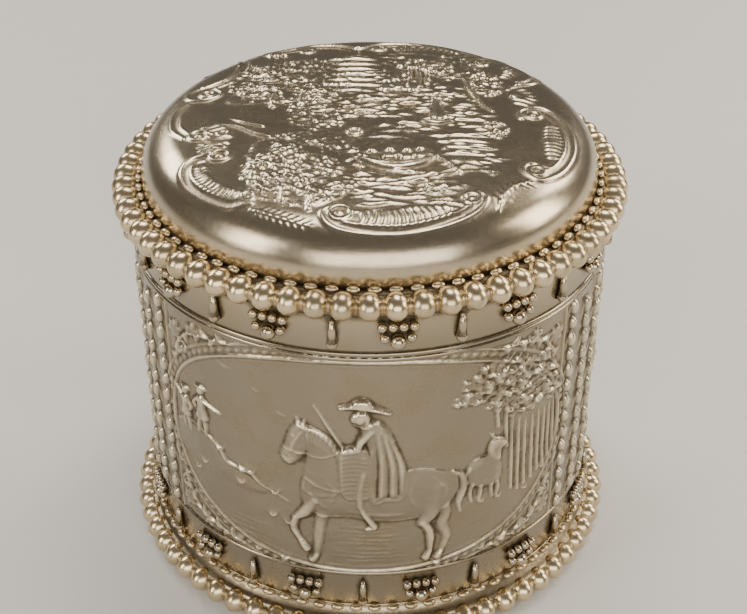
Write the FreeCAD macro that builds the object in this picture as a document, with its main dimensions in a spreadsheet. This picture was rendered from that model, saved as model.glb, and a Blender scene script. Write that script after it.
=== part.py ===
"""A round covered sugar box in silver, made as a silversmith makes it: a rolled body on a beaded foot,
a collar inside its mouth, and a spun, domed lid that drops over the collar.

Frame: millimetres, +Z up, origin on the table under the centre of the foot. -Y is the front.
"""
import FreeCAD, Part
import math
import os
import Sketcher

# Driving dimensions. Everything else is worked out from these.
DIMENSIONS = {
    # body
    "body_radius": 50.0,          # outside of the rolled tube
    "sheet": 0.8,                 # thickness of the tube, base and collar
    "seat_height": 3.8,           # ledge in the foot that carries tube and base
    "body_top": 72.0,             # where lid and body meet
    "base_hollow": 0.35,          # the base is slightly dished so that it does not rock
    # collar inside the mouth
    "collar_below": 8.0,          # soldered length inside the tube
    "collar_above": 9.0,          # length that stands up into the lid
    "collar_clearance": 0.2,      # radial play between collar and lid skirt
    # foot
    "foot_inner_radius": 47.6,
    "foot_edge_radius": 52.9,
    "foot_lip": 4.1,
    "foot_top": 7.8,
    "foot_cove_radius": 4.0,
    "foot_chamfer": 1.2,
    "foot_pearl_ring": 52.75,     # radius of the circle of pearl centres
    "foot_pearl_height": 3.0,
    # lid
    "flange_under": 81.8,
    "flange_top": 85.4,
    "flange_edge_radius": 51.2,
    "lid_pearl_ring": 51.0,
    "lid_pearl_height": 84.0,
    "dome_radius": 47.5,
    "dome_sheet": 0.8,
    "dome_top": 98.2,
    "crown_radius": 400.0,        # the shallow curve of the lid's top
    "shoulder_radius": 9.0,
    # rows of pearls
    "pearl_radius": 2.45,
    "pearl_count": 65,
    "bead_radius": 0.75,          # the fine pearls inside each row of large ones
    "bead_sink": 0.7,             # how far below the foot's top edge the fine beads sit
    "bead_rise": 0.35,            # how far above the lid's flange they sit
    # half-round wires on body and lid
    "wire_height": 1.1,
    "wire_proud": 0.45,
    "border_height": 16.5,        # wire between the chased panels and the foot's border
    # grapes and drops under each pearl border
    "ornament_count": 13,
    "grape_radius": 0.98,
    "big_grape_radius": 1.55,
    "grape_pitch": 2.0,
    "grape_step": 2.5,            # from the top row down to the second
    "big_grape_step": 3.4,        # from the top row down to the large grape
    "drop_radius": 1.15,
    "drop_tip_radius": 0.5,
    "drop_length": 5.6,           # from the tip down to the bulb's centre
    "ornament_sink": 0.05,        # how far the balls' centres sit outside the wall
    "lid_grape_row": 79.4,
    "foot_grape_row": 13.6,
    "drop_rise": 1.5,             # how far a drop's tip is above the top row of grapes
    # how far the lid's and foot's borders are turned, in degrees
    "lid_border_turn": 6.0,
    "foot_border_turn": 12.2,
}

doc = FreeCAD.newDocument("sugar_box")
sheet = doc.addObject("Spreadsheet::Sheet", "sheet")
for row, (name, number) in enumerate(DIMENSIONS.items(), start=1):
    sheet.set(f"A{row}", name)
    sheet.set(f"B{row}", str(number))
    sheet.setAlias(f"B{row}", name)
doc.recompute()


class Size:
    """A number together with the sheet formula that gives it, so one line of arithmetic makes both."""

    def __init__(self, value, formula=None):
        self.value = float(value)
        self.formula = formula or repr(float(value))

    def _with(self, sign, other, result, turned=False):
        other = other if isinstance(other, Size) else Size(other)
        first, second = (other, self) if turned else (self, other)
        return Size(result(first.value, second.value), f"({first.formula} {sign} {second.formula})")

    def __add__(self, other):
        return self._with("+", other, lambda a, b: a + b)

    def __radd__(self, other):
        return self._with("+", other, lambda a, b: a + b, turned=True)

    def __sub__(self, other):
        return self._with("-", other, lambda a, b: a - b)

    def __rsub__(self, other):
        return self._with("-", other, lambda a, b: a - b, turned=True)

    def __mul__(self, other):
        return self._with("*", other, lambda a, b: a * b)

    def __rmul__(self, other):
        return self._with("*", other, lambda a, b: a * b, turned=True)

    def __truediv__(self, other):
        return self._with("/", other, lambda a, b: a / b)

    def __rtruediv__(self, other):
        return self._with("/", other, lambda a, b: a / b, turned=True)

    def root(self):
        return Size(math.sqrt(self.value), f"sqrt({self.formula})")


def size(name):
    """A driving dimension by its name in the sheet."""
    return Size(DIMENSIONS[name], f"sheet.{name}")


ZERO = Size(0)
body_radius = size("body_radius")
tube_bore = body_radius - size("sheet")
skirt_bore = tube_bore + size("collar_clearance")
body_top = size("body_top")


def origin_feature(body, role):
    """A body's own base plane or axis."""
    return next(o for o in body.Origin.OriginFeatures if o.Role == role)


def new_body(label):
    body = doc.addObject("PartDesign::Body", label)
    body.Label = label
    body.AllowCompound = True
    return body


def pin_point(sketch, geometry, end, across, up):
    """Hold one end of an edge at (across, up) from the origin, each bound to the sheet."""
    for kind, axis, place in (("DistanceX", -2, across), ("DistanceY", -1, up)):
        if place.value == 0:
            sketch.addConstraint(Sketcher.Constraint("PointOnObject", geometry, end, axis))
        else:
            n = sketch.addConstraint(Sketcher.Constraint(kind, -1, 1, geometry, end, place.value))
            sketch.setExpression(f"Constraints[{n}]", place.formula)


def draw_outline(body, name, corners):
    """A closed outline in the XZ plane. Each corner is (radius, height) or (radius, height, arc radius,
    +1 or -1): an arc runs from that corner to the next, bulging to the left (+1) or right (-1) of the way."""
    sketch = body.newObject("Sketcher::SketchObject", name)
    sketch.AttachmentSupport = [(origin_feature(body, "XZ_Plane"), "")]
    sketch.MapMode = "FlatFace"
    for i, corner in enumerate(corners):
        following = corners[(i + 1) % len(corners)]
        a = FreeCAD.Vector(corner[0].value, corner[1].value, 0)
        b = FreeCAD.Vector(following[0].value, following[1].value, 0)
        if len(corner) == 2:
            sketch.addGeometry(Part.LineSegment(a, b), False)
            continue
        bend, side = corner[2], corner[3]
        half = (b - a).Length / 2
        rise = bend.value - math.sqrt(bend.value**2 - half**2)
        left = FreeCAD.Vector(-(b - a).y, (b - a).x, 0).normalize()
        middle = (a + b) / 2 + left * rise * side
        # a sketch numbers an arc's ends anticlockwise, so a left-hand bulge is drawn backwards
        sketch.addGeometry(Part.Arc(b, middle, a) if side > 0 else Part.Arc(a, middle, b), False)
    for i, corner in enumerate(corners):
        after = (i + 1) % len(corners)
        start, end = ends_of(corner)
        next_start, _ = ends_of(corners[after])
        sketch.addConstraint(Sketcher.Constraint("Coincident", i, end, after, next_start))
        pin_point(sketch, i, start, corner[0], corner[1])
        if len(corner) == 4:
            n = sketch.addConstraint(Sketcher.Constraint("Radius", i, corner[2].value))
            sketch.setExpression(f"Constraints[{n}]", corner[2].formula)
    return sketch


def ends_of(corner):
    """The vertex numbers of an edge's near and far end: an arc that bulges left is drawn backwards."""
    return (2, 1) if len(corner) == 4 and corner[3] > 0 else (1, 2)


def revolved(label, corners):
    """A ring, disc or shell of revolution about Z."""
    body = new_body(label)
    sketch = draw_outline(body, label + "_outline", corners)
    turn = body.newObject("PartDesign::Revolution", label + "_turned")
    turn.Profile = sketch
    turn.ReferenceAxis = (origin_feature(body, "Z_Axis"), [""])
    turn.Angle = 360
    sketch.Visibility = False
    body.Tip = turn
    return body


def ball(body, name, radius, ring, height, sideways=ZERO):
    """A ball whose centre is on the -Y side at that radius and height, moved sideways along the wall."""
    made = body.newObject("PartDesign::AdditiveSphere", name)
    made.setExpression("Radius", radius.formula)
    made.setExpression(".AttachmentOffset.Base.x", sideways.formula)
    made.setExpression(".AttachmentOffset.Base.y", f"-({ring.formula})")
    made.setExpression(".AttachmentOffset.Base.z", height.formula)
    made.AttachmentSupport = [(origin_feature(body, "XY_Plane"), "")]
    made.MapMode = "FlatFace"
    doc.recompute()
    return made


def round_the_axis(body, features, count):
    """Repeat the features evenly around Z."""
    pattern = body.newObject("PartDesign::PolarPattern", body.Label + "_pattern")
    pattern.Originals = features
    pattern.Axis = (origin_feature(body, "Z_Axis"), [""])
    pattern.Angle = 360
    pattern.setExpression("Occurrences", count.formula)
    body.Tip = pattern
    return pattern


def pearl_row(label, radius, ring, height, seat):
    """Pearls side by side in a ring, each seated into the piece that carries the row.
    Their poles point out of and into the seat, so that the seat cuts a whole pole away."""
    body = new_body(label + "_blank")
    pearl = ball(body, label + "_pearl", radius, ring, height)
    pearl.AttachmentOffset = FreeCAD.Placement(
        pearl.AttachmentOffset.Base, FreeCAD.Rotation(FreeCAD.Vector(1, 0, 0), 90))
    round_the_axis(body, [pearl], size("pearl_count"))
    seated = doc.addObject("Part::Cut", label)
    seated.Label = label
    seated.Base = body
    seated.Tool = seat
    return seated


def half_round_wire(label, foot_of_wire):
    """A half-round wire soldered round the wall, its flat side on the wall."""
    high, proud = size("wire_height"), size("wire_proud")
    bend = (high * high / 4 + proud * proud) / (2 * proud)
    return revolved(label, [
        (body_radius, foot_of_wire, bend, -1),
        (body_radius, foot_of_wire + high),
    ])


def trimmed_to_wall(body):
    """Cut away what lies inside the wall, so that the ornaments sit on it."""
    sketch = body.newObject("Sketcher::SketchObject", body.Label + "_wall")
    sketch.AttachmentSupport = [(origin_feature(body, "XY_Plane"), "")]
    sketch.MapMode = "FlatFace"
    circle = Part.Circle(FreeCAD.Vector(0, 0, 0), FreeCAD.Vector(0, 0, 1), body_radius.value)
    sketch.addGeometry(circle, False)
    sketch.addConstraint(Sketcher.Constraint("Coincident", 0, 3, -1, 1))
    n = sketch.addConstraint(Sketcher.Constraint("Radius", 0, body_radius.value))
    sketch.setExpression(f"Constraints[{n}]", body_radius.formula)
    doc.recompute()
    pocket = body.newObject("PartDesign::Pocket", body.Label + "_trim")
    pocket.Profile = sketch
    pocket.Type = 0
    pocket.Reversed = True
    pocket.setExpression("Length", (size("dome_top") * 1.1).formula)
    body.Tip = pocket
    return pocket


def turned_about_axis(body, degrees):
    body.setExpression(".Placement.Rotation.Angle", degrees.formula)
    body.Placement.Rotation.Axis = FreeCAD.Vector(0, 0, 1)


def grape_bunches(label, top_row, turn):
    """Small bunches of grapes round the wall: four in a row, one under each end and a large one between."""
    body = new_body(label)
    ring = body_radius + size("ornament_sink")
    small, large, pitch = size("grape_radius"), size("big_grape_radius"), size("grape_pitch")
    grapes = [ball(body, f"{label}_top{i}", small, ring, top_row, pitch * (i - 1.5)) for i in range(4)]
    for side in (-1, 1):
        low = top_row - size("grape_step")
        grapes.append(ball(body, f"{label}_side{side + 1}", small, ring, low, pitch * 1.25 * side))
    grapes.append(ball(body, f"{label}_large", large, ring, top_row - size("big_grape_step")))
    round_the_axis(body, grapes, size("ornament_count"))
    doc.recompute()
    trimmed_to_wall(body)
    turned_about_axis(body, turn)
    return body


def drops(label, top_row, turn):
    """Hanging drops between the bunches: a small round tip, a widening stem and a round bulb."""
    body = new_body(label)
    ring = body_radius + size("ornament_sink")
    bulb, tip, length = size("drop_radius"), size("drop_tip_radius"), size("drop_length")
    tip_height = top_row + size("drop_rise")
    stem = body.newObject("PartDesign::AdditiveCone", label + "_stem")
    stem.setExpression("Radius1", (bulb * 0.9).formula)
    stem.setExpression("Radius2", (tip * 0.8).formula)
    stem.setExpression("Height", length.formula)
    stem.setExpression(".AttachmentOffset.Base.y", f"-({ring.formula})")
    stem.setExpression(".AttachmentOffset.Base.z", (tip_height - length).formula)
    stem.AttachmentSupport = [(origin_feature(body, "XY_Plane"), "")]
    stem.MapMode = "FlatFace"
    doc.recompute()
    lower = ball(body, label + "_bulb", bulb, ring, tip_height - length)
    upper = ball(body, label + "_tip", tip, ring, tip_height)
    round_the_axis(body, [stem, lower, upper], size("ornament_count"))
    doc.recompute()
    trimmed_to_wall(body)
    turned_about_axis(body, turn)
    return body


def make_body_parts():
    tube_foot = size("seat_height")
    tube = revolved("body_tube", [
        (tube_bore, tube_foot), (body_radius, tube_foot), (body_radius, body_top), (tube_bore, body_top),
    ])
    raised = tube_foot + size("base_hollow")
    base = revolved("base_plate", [
        (ZERO, raised), (tube_bore, tube_foot), (tube_bore, tube_foot + size("sheet")),
        (ZERO, raised + size("sheet")),
    ])
    collar_low, collar_high = body_top - size("collar_below"), body_top + size("collar_above")
    inside, lead = tube_bore - size("sheet"), size("sheet") / 2
    collar = revolved("collar", [
        (inside, collar_low), (tube_bore, collar_low), (tube_bore, collar_high - lead),
        (inside + lead, collar_high), (inside, collar_high),
    ])
    rim = half_round_wire("body_rim_wire", body_top - size("wire_height"))
    border = half_round_wire("body_border_wire", size("border_height") - size("wire_height") / 2)
    return [tube, base, collar, rim, border]


def make_foot():
    inner, edge, top = size("foot_inner_radius"), size("foot_edge_radius"), size("foot_top")
    seat = size("seat_height")
    cove, chamfer = size("foot_cove_radius"), size("foot_chamfer")
    lip = size("foot_lip")
    foot = revolved("foot_ring", [
        (inner, ZERO), (edge - chamfer, ZERO), (edge, chamfer), (edge, lip),
        (edge - chamfer, lip + chamfer, cove, 1), (body_radius, top), (body_radius, seat), (inner, seat),
    ])
    pearls = pearl_row("foot_pearls", size("pearl_radius"), size("foot_pearl_ring"),
                       size("foot_pearl_height"), foot)
    beads = pearl_row("foot_fine_beads", size("bead_radius"), body_radius + size("bead_radius"),
                      top - size("bead_sink"), foot)
    grapes = grape_bunches("foot_grapes", size("foot_grape_row"), size("foot_border_turn"))
    half_pitch = 180 / size("ornament_count")
    hung = drops("foot_drops", size("foot_grape_row"), size("foot_border_turn") + half_pitch)
    return [foot, pearls, beads, grapes, hung]


def make_lid():
    under, top, edge = size("flange_under"), size("flange_top"), size("flange_edge_radius")
    dome, thick = size("dome_radius"), size("dome_sheet")
    skirt = revolved("lid_skirt", [
        (skirt_bore, body_top), (body_radius, body_top), (body_radius, under), (skirt_bore, under),
    ])
    wire = half_round_wire("lid_rim_wire", body_top)
    flange = revolved("lid_flange", [
        (dome - thick, under), (edge, under), (edge, under + size("sheet")),
        (dome + 2 * size("bead_radius"), top), (dome - thick, top),
    ])
    pearls = pearl_row("lid_pearls", size("pearl_radius"), size("lid_pearl_ring"),
                       size("lid_pearl_height"), flange)
    beads = pearl_row("lid_fine_beads", size("bead_radius"), dome + size("bead_radius"),
                      top + size("bead_rise"), flange)
    # The dome's outside is a shallow crown that runs tangentially into a round shoulder; its inside is
    # the same two arcs, one sheet thickness smaller, about the same centres.
    crown, shoulder = size("crown_radius"), size("shoulder_radius")
    shoulder_centre = dome - shoulder
    reach = crown - shoulder
    crown_centre = size("dome_top") - crown
    shoulder_height = crown_centre + (reach * reach - shoulder_centre * shoulder_centre).root()
    slope = shoulder_centre / reach
    upright = (1 - slope * slope).root()

    def meet(bend):
        return shoulder_centre + bend * slope, shoulder_height + bend * upright

    inner_bend, inner_crown = shoulder - thick, crown - thick
    cover = revolved("lid_dome", [
        (dome - thick, top), (dome, top), (dome, shoulder_height, shoulder, -1),
        (*meet(shoulder), crown, -1), (ZERO, size("dome_top")),
        (ZERO, size("dome_top") - thick, inner_crown, 1),
        (*meet(inner_bend), inner_bend, 1), (dome - thick, shoulder_height),
    ])
    grapes = grape_bunches("lid_grapes", size("lid_grape_row"), size("lid_border_turn"))
    half_pitch = 180 / size("ornament_count")
    hung = drops("lid_drops", size("lid_grape_row"), size("lid_border_turn") + half_pitch)
    return [skirt, wire, flange, pearls, beads, cover, grapes, hung]


def check_and_write(pieces):
    """Stop if any object failed or any piece is not a sound solid, then write one STEP file per piece."""
    doc.recompute()
    failed = [o.Label for o in doc.Objects if "Invalid" in o.State or "Error" in o.State]
    if failed:
        raise RuntimeError(f"these objects failed: {failed}")
    os.makedirs("parts", exist_ok=True)
    for old in os.listdir("parts"):
        os.remove(os.path.join("parts", old))
    for piece in pieces:
        shape = piece.Shape
        if shape.isNull() or not shape.isValid() or not shape.Solids:
            raise RuntimeError(f"{piece.Label} is not a valid solid")
        shape.exportStep(os.path.join("parts", piece.Label + ".step"))
        box = shape.BoundBox
        print(f"{piece.Label}: {len(shape.Solids)} solid(s), {shape.Volume:.1f} mm3, "
              f"z {box.ZMin:.2f} to {box.ZMax:.2f}, across {box.XLength:.2f}")


doc.recompute()
check_and_write(make_body_parts() + make_foot() + make_lid())
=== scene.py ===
# %% [markdown]
# # A chased silver sugar box
# The box is made the way a silversmith made it: a rolled wall and a spun lid, both worked in relief
# from the inside (embossing) and then sharpened from the outside (chasing), with cast rows of pearls,
# bunches of grapes and drops soldered on. The relief carries the look, so most of this file draws it.

# %% Load the frame
import math
import bpy
import numpy as np
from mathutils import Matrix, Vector


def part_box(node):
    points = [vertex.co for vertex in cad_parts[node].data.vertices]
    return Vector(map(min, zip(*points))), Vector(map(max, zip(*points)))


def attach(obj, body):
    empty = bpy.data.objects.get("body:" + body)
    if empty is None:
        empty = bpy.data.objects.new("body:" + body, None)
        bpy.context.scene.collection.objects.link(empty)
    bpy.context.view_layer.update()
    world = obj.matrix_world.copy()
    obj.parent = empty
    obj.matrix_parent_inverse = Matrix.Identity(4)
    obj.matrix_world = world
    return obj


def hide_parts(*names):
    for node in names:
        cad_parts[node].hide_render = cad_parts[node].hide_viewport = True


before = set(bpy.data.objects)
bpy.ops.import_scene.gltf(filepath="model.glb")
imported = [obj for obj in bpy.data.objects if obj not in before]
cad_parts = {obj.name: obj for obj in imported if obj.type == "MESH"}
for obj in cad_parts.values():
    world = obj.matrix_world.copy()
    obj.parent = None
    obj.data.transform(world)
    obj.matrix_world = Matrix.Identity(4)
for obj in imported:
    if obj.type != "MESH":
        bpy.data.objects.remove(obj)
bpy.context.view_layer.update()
MM = 0.001

# %% [markdown]
# Every height and radius is read from the frame, so that the pieces meet the ones they sit on. The
# wall's outside is the skirt's outside too, and the wires, rows of pearls and dome follow from theirs.

# %% Sizes from the frame, in millimetres


def reach(node):
    """The radius of a round piece."""
    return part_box(node)[1][0] / MM


def span(node):
    """The lowest and highest point of a piece."""
    low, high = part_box(node)
    return low[2] / MM, high[2] / MM


WALL = reach("lid_skirt")
WALL_LOW, WALL_TOP = span("body_tube")
SHEET = WALL - reach("collar")
SKIRT_LOW, SKIRT_TOP = span("lid_skirt")
DOME = reach("lid_dome")
DOME_LOW, DOME_TOP = span("lid_dome")
WIRE = span("lid_rim_wire")[1] - span("lid_rim_wire")[0]
WIRE_PROUD = reach("lid_rim_wire") - WALL
BORDER = sum(span("body_border_wire")) / 2
PEARL = (span("foot_pearls")[1] - span("foot_pearls")[0]) / 2
FOOT_PEARL_Z = sum(span("foot_pearls")) / 2
LID_PEARL_Z = sum(span("lid_pearls")) / 2
BEAD = 0.75
PEARLS = 65
BUNCHES = 13
ROUND = 2 * math.pi * WALL
print(f"wall radius {WALL:.2f}, panels from {BORDER:.1f} to {WALL_TOP:.1f}, pearls {2 * PEARL:.2f} across")

# %% [markdown]
# ## Shader sums
# A shader's arithmetic is easier to read as a formula than as a web of nodes. The class below holds one
# socket, and each operator on it adds the Math node that does that sum.

# %% A socket that can be added, multiplied and mixed


class Value:
    """One output of a shader node."""

    def __init__(self, finish, socket):
        self.finish, self.socket = finish, socket

    def sum(self, operation, *others):
        return self.finish.node("ShaderNodeMath", {"operation": operation}, [self, *others])

    def __add__(self, other):
        return self.sum("ADD", other)

    __radd__ = __add__

    def __mul__(self, other):
        return self.sum("MULTIPLY", other)

    __rmul__ = __mul__

    def __sub__(self, other):
        return self.sum("SUBTRACT", other)

    def __rsub__(self, other):
        return (self * -1) + other

    def ramp(self, low, high):
        """0 below low, 1 above high, and smooth between."""
        settings = {"interpolation_type": "SMOOTHSTEP", "clamp": True}
        return self.finish.node("ShaderNodeMapRange", settings, {"Value": self, "From Min": low,
                                                                 "From Max": high})


class Finish:
    """A material whose nodes come from one method."""

    def __init__(self, name):
        self.material = bpy.data.materials.new(name)
        self.material.use_nodes = True
        self.nodes, self.links = self.material.node_tree.nodes, self.material.node_tree.links
        self.shader = self.nodes["Principled BSDF"]
        self.place = self.node("ShaderNodeTexCoord", {}, {}, "Object")

    def node(self, kind, settings, inputs, output=0):
        """Add a node, set it up, feed its inputs with numbers or links, and give back one output."""
        made = self.nodes.new(kind)
        for name, setting in settings.items():
            setattr(made, name, setting)
        self.feed(made, inputs)
        return Value(self, made.outputs[output])

    def feed(self, made, inputs):
        pairs = inputs.items() if isinstance(inputs, dict) else enumerate(inputs)
        for key, given in pairs:
            if isinstance(given, Value):
                self.links.new(given.socket, made.inputs[key])
            else:
                made.inputs[key].default_value = given

    def noise(self, size, detail=3.0, stretch=(1, 1, 1)):
        """Noise whose lumps are about size millimetres across."""
        at = self.node("ShaderNodeMapping", {}, {"Vector": self.place, "Scale": stretch})
        return self.node("ShaderNodeTexNoise", {}, {"Vector": at, "Scale": 1 / (size * MM), "Detail": detail})

    def mix(self, amount, first, second):
        """Mix two colours."""
        made = self.nodes.new("ShaderNodeMix")
        made.data_type = "RGBA"
        self.feed(made, {0: amount, 6: first, 7: second})
        return Value(self, made.outputs[2])


# %% [markdown]
# ## The metal
# Old silver is never one grey. The high places are rubbed bright and carry a cream painted highlight. The
# hollows, joins and undersides keep a brown film that the polishing cloth can't reach, and that film also
# serves as painted shade. A faint yellow tarnish lies in cloudy patches. Near the rows of pearls the metal is
# warmer, a painted warm reflection of the gilt pearls. Each relief piece stores two attributes. The first is
# recess, how deep a point lies in a hollow, which the film and painted shade follow. The second is
# rubbed_and_highlight, how far a point stands up, which the rubbed metal and painted highlight follow. Fine
# scratches go round the box, because it is wiped that way.

# %% One recipe for all the silver pieces
BRIGHT = (0.47, 0.40, 0.295, 1)
# a darker copy of the silver for the wall, foot, flange, skirt and wires: aged silver, and painted dark as
# the reflection of a dark room on these sides
AGED_AND_PAINTED_DARK = (0.31, 0.265, 0.195, 1)
GILT = (0.72, 0.58, 0.37, 1)
# painted highlight: the cream that raised places turn to, on top of rubbed bright metal
RUBBED_AND_HIGHLIGHT = (0.84, 0.73, 0.52, 1)
TARNISH = (0.30, 0.235, 0.145, 1)
# painted shade: the dark brown that hollows, joins and undersides turn to, partly a real film
FILM_AND_SHADE = (0.060, 0.042, 0.022, 1)


def silver(name, rough, film_and_shade=0.8, cloud=0.5, grain=0.1, colour=BRIGHT):
    """Silver with a base roughness; film_and_shade darkens hollows with brown film and painted shade, cloud
    yellows patches, grain is surface texture.
    """
    finish = Finish(name)
    recess = finish.node("ShaderNodeAttribute", {"attribute_name": "recess"}, {}, "Fac")
    clouds = finish.noise(9, 4.0).ramp(0.42, 0.72)
    specks = finish.noise(0.9, 3.0)
    scratches = finish.noise(0.5, 2.0, (0.12, 0.12, 1.0))
    hollow = (recess * (0.6 + specks * 0.8)).ramp(0.03, 0.85)
    height = finish.node("ShaderNodeSeparateXYZ", {}, [finish.place], "Z")
    # painted reflection: near the rows of pearls the metal turns toward gilt, a warm reflection of the gilt
    # pearls
    from_lid = (height - LID_PEARL_Z * MM).sum("ABSOLUTE")
    from_foot = (height - FOOT_PEARL_Z * MM).sum("ABSOLUTE")
    gilt_reflection = 1 - from_lid.sum("MINIMUM", from_foot).ramp(1.5 * MM, 12 * MM)
    metal = finish.mix(clouds * cloud, colour, TARNISH)
    metal = finish.mix(gilt_reflection * 0.35, metal, GILT)
    # painted highlight: raised places turn cream, partly rubbed bright metal
    rubbed_and_highlight = finish.node("ShaderNodeAttribute", {"attribute_name": "rubbed_and_highlight"}, {}, "Fac")
    metal = finish.mix(rubbed_and_highlight * (0.5 + specks * 0.7), metal, RUBBED_AND_HIGHLIGHT)
    # painted shade: hollows, joins and undersides turn dark brown, partly a real film in the hollows
    metal = finish.mix((hollow * film_and_shade).ramp(0.0, 1.0), metal, FILM_AND_SHADE)
    shine = clouds * 0.05 + specks * 0.10 + scratches * 0.06 + hollow * 0.25 + (rough - 0.08)
    texture = specks * 0.5 + scratches * 0.5 + finish.noise(0.25, 2.0) * 0.6
    bump = finish.node("ShaderNodeBump", {}, {"Strength": grain, "Distance": 0.05 * MM, "Height": texture})
    finish.feed(finish.shader, {"Base Color": metal, "Metallic": 1.0, "Roughness": shine, "Normal": bump})
    return finish.material


POLISHED = silver("polished_silver", 0.19, film_and_shade=0.7, cloud=0.6, grain=0.12, colour=AGED_AND_PAINTED_DARK)
CHASED = silver("chased_silver", 0.24, film_and_shade=0.75, cloud=0.6, grain=0.4, colour=AGED_AND_PAINTED_DARK)
PEARL_SILVER = silver("pearl_silver", 0.25, film_and_shade=0.85, cloud=0.7, grain=0.16, colour=GILT)
GRAPE_SILVER = silver("grape_silver", 0.20, film_and_shade=0.95, cloud=0.6, grain=0.12, colour=BRIGHT)
DOME_SILVER = silver("dome_silver", 0.225, film_and_shade=0.75, cloud=0.5, grain=0.35)
INSIDE = silver("inside_silver", 0.32, film_and_shade=0.3, cloud=0.7, grain=0.2, colour=GILT)
print("finishes:", [m.name for m in (POLISHED, CHASED, DOME_SILVER, PEARL_SILVER, GRAPE_SILVER, INSIDE)])

# %% [markdown]
# ## Drawing in relief
# The chaser lays the metal on pitch and pushes it about with punches. Here the sheet is a grid of
# heights, and three punches do nearly everything: a line that can swell and taper, a filled patch with
# a rounded edge, and a scatter of little leaves. Lines are given by a few points with a smooth curve
# through them, in millimetres from the middle of the sheet.

# %% Smooth curves through a few points


def smooth(points, closed=False, step=0.5):
    """Points about one step apart on a Catmull-Rom curve through the given ones."""
    given = np.array(points, float)
    if closed:
        ring = np.vstack([given[-1], given, given[0], given[1]])
    else:
        ring = np.vstack([2 * given[0] - given[1], given, 2 * given[-1] - given[-2]])
    made = []
    for a, b, c, d in zip(ring[:-3], ring[1:-2], ring[2:-1], ring[3:]):
        count = max(2, int(np.hypot(*(c - b)) / step))
        for t in np.arange(count) / count:
            made.append(0.5 * (2 * b + (c - a) * t + (2 * a - 5 * b + 4 * c - d) * t**2
                               + (3 * b - a - 3 * c + d) * t**3))
    if not closed:
        made.append(given[-1])
    return np.array(made)


def curl(start, heading, radius, turn, turns=1.2):
    """A spiral that leaves start in the heading (degrees) and winds up to the left (1) or right (-1)."""
    side = math.radians(heading + 90 * turn)
    centre = np.array(start) + radius * np.array([math.cos(side), math.sin(side)])
    made = []
    for t in np.linspace(0, 1, 12):
        angle = side + math.pi + turn * t * turns * 2 * math.pi
        made.append(centre + radius * (1 - 0.72 * t) * np.array([math.cos(angle), math.sin(angle)]))
    return made, centre


# %% The sheet on which the relief is drawn


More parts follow.
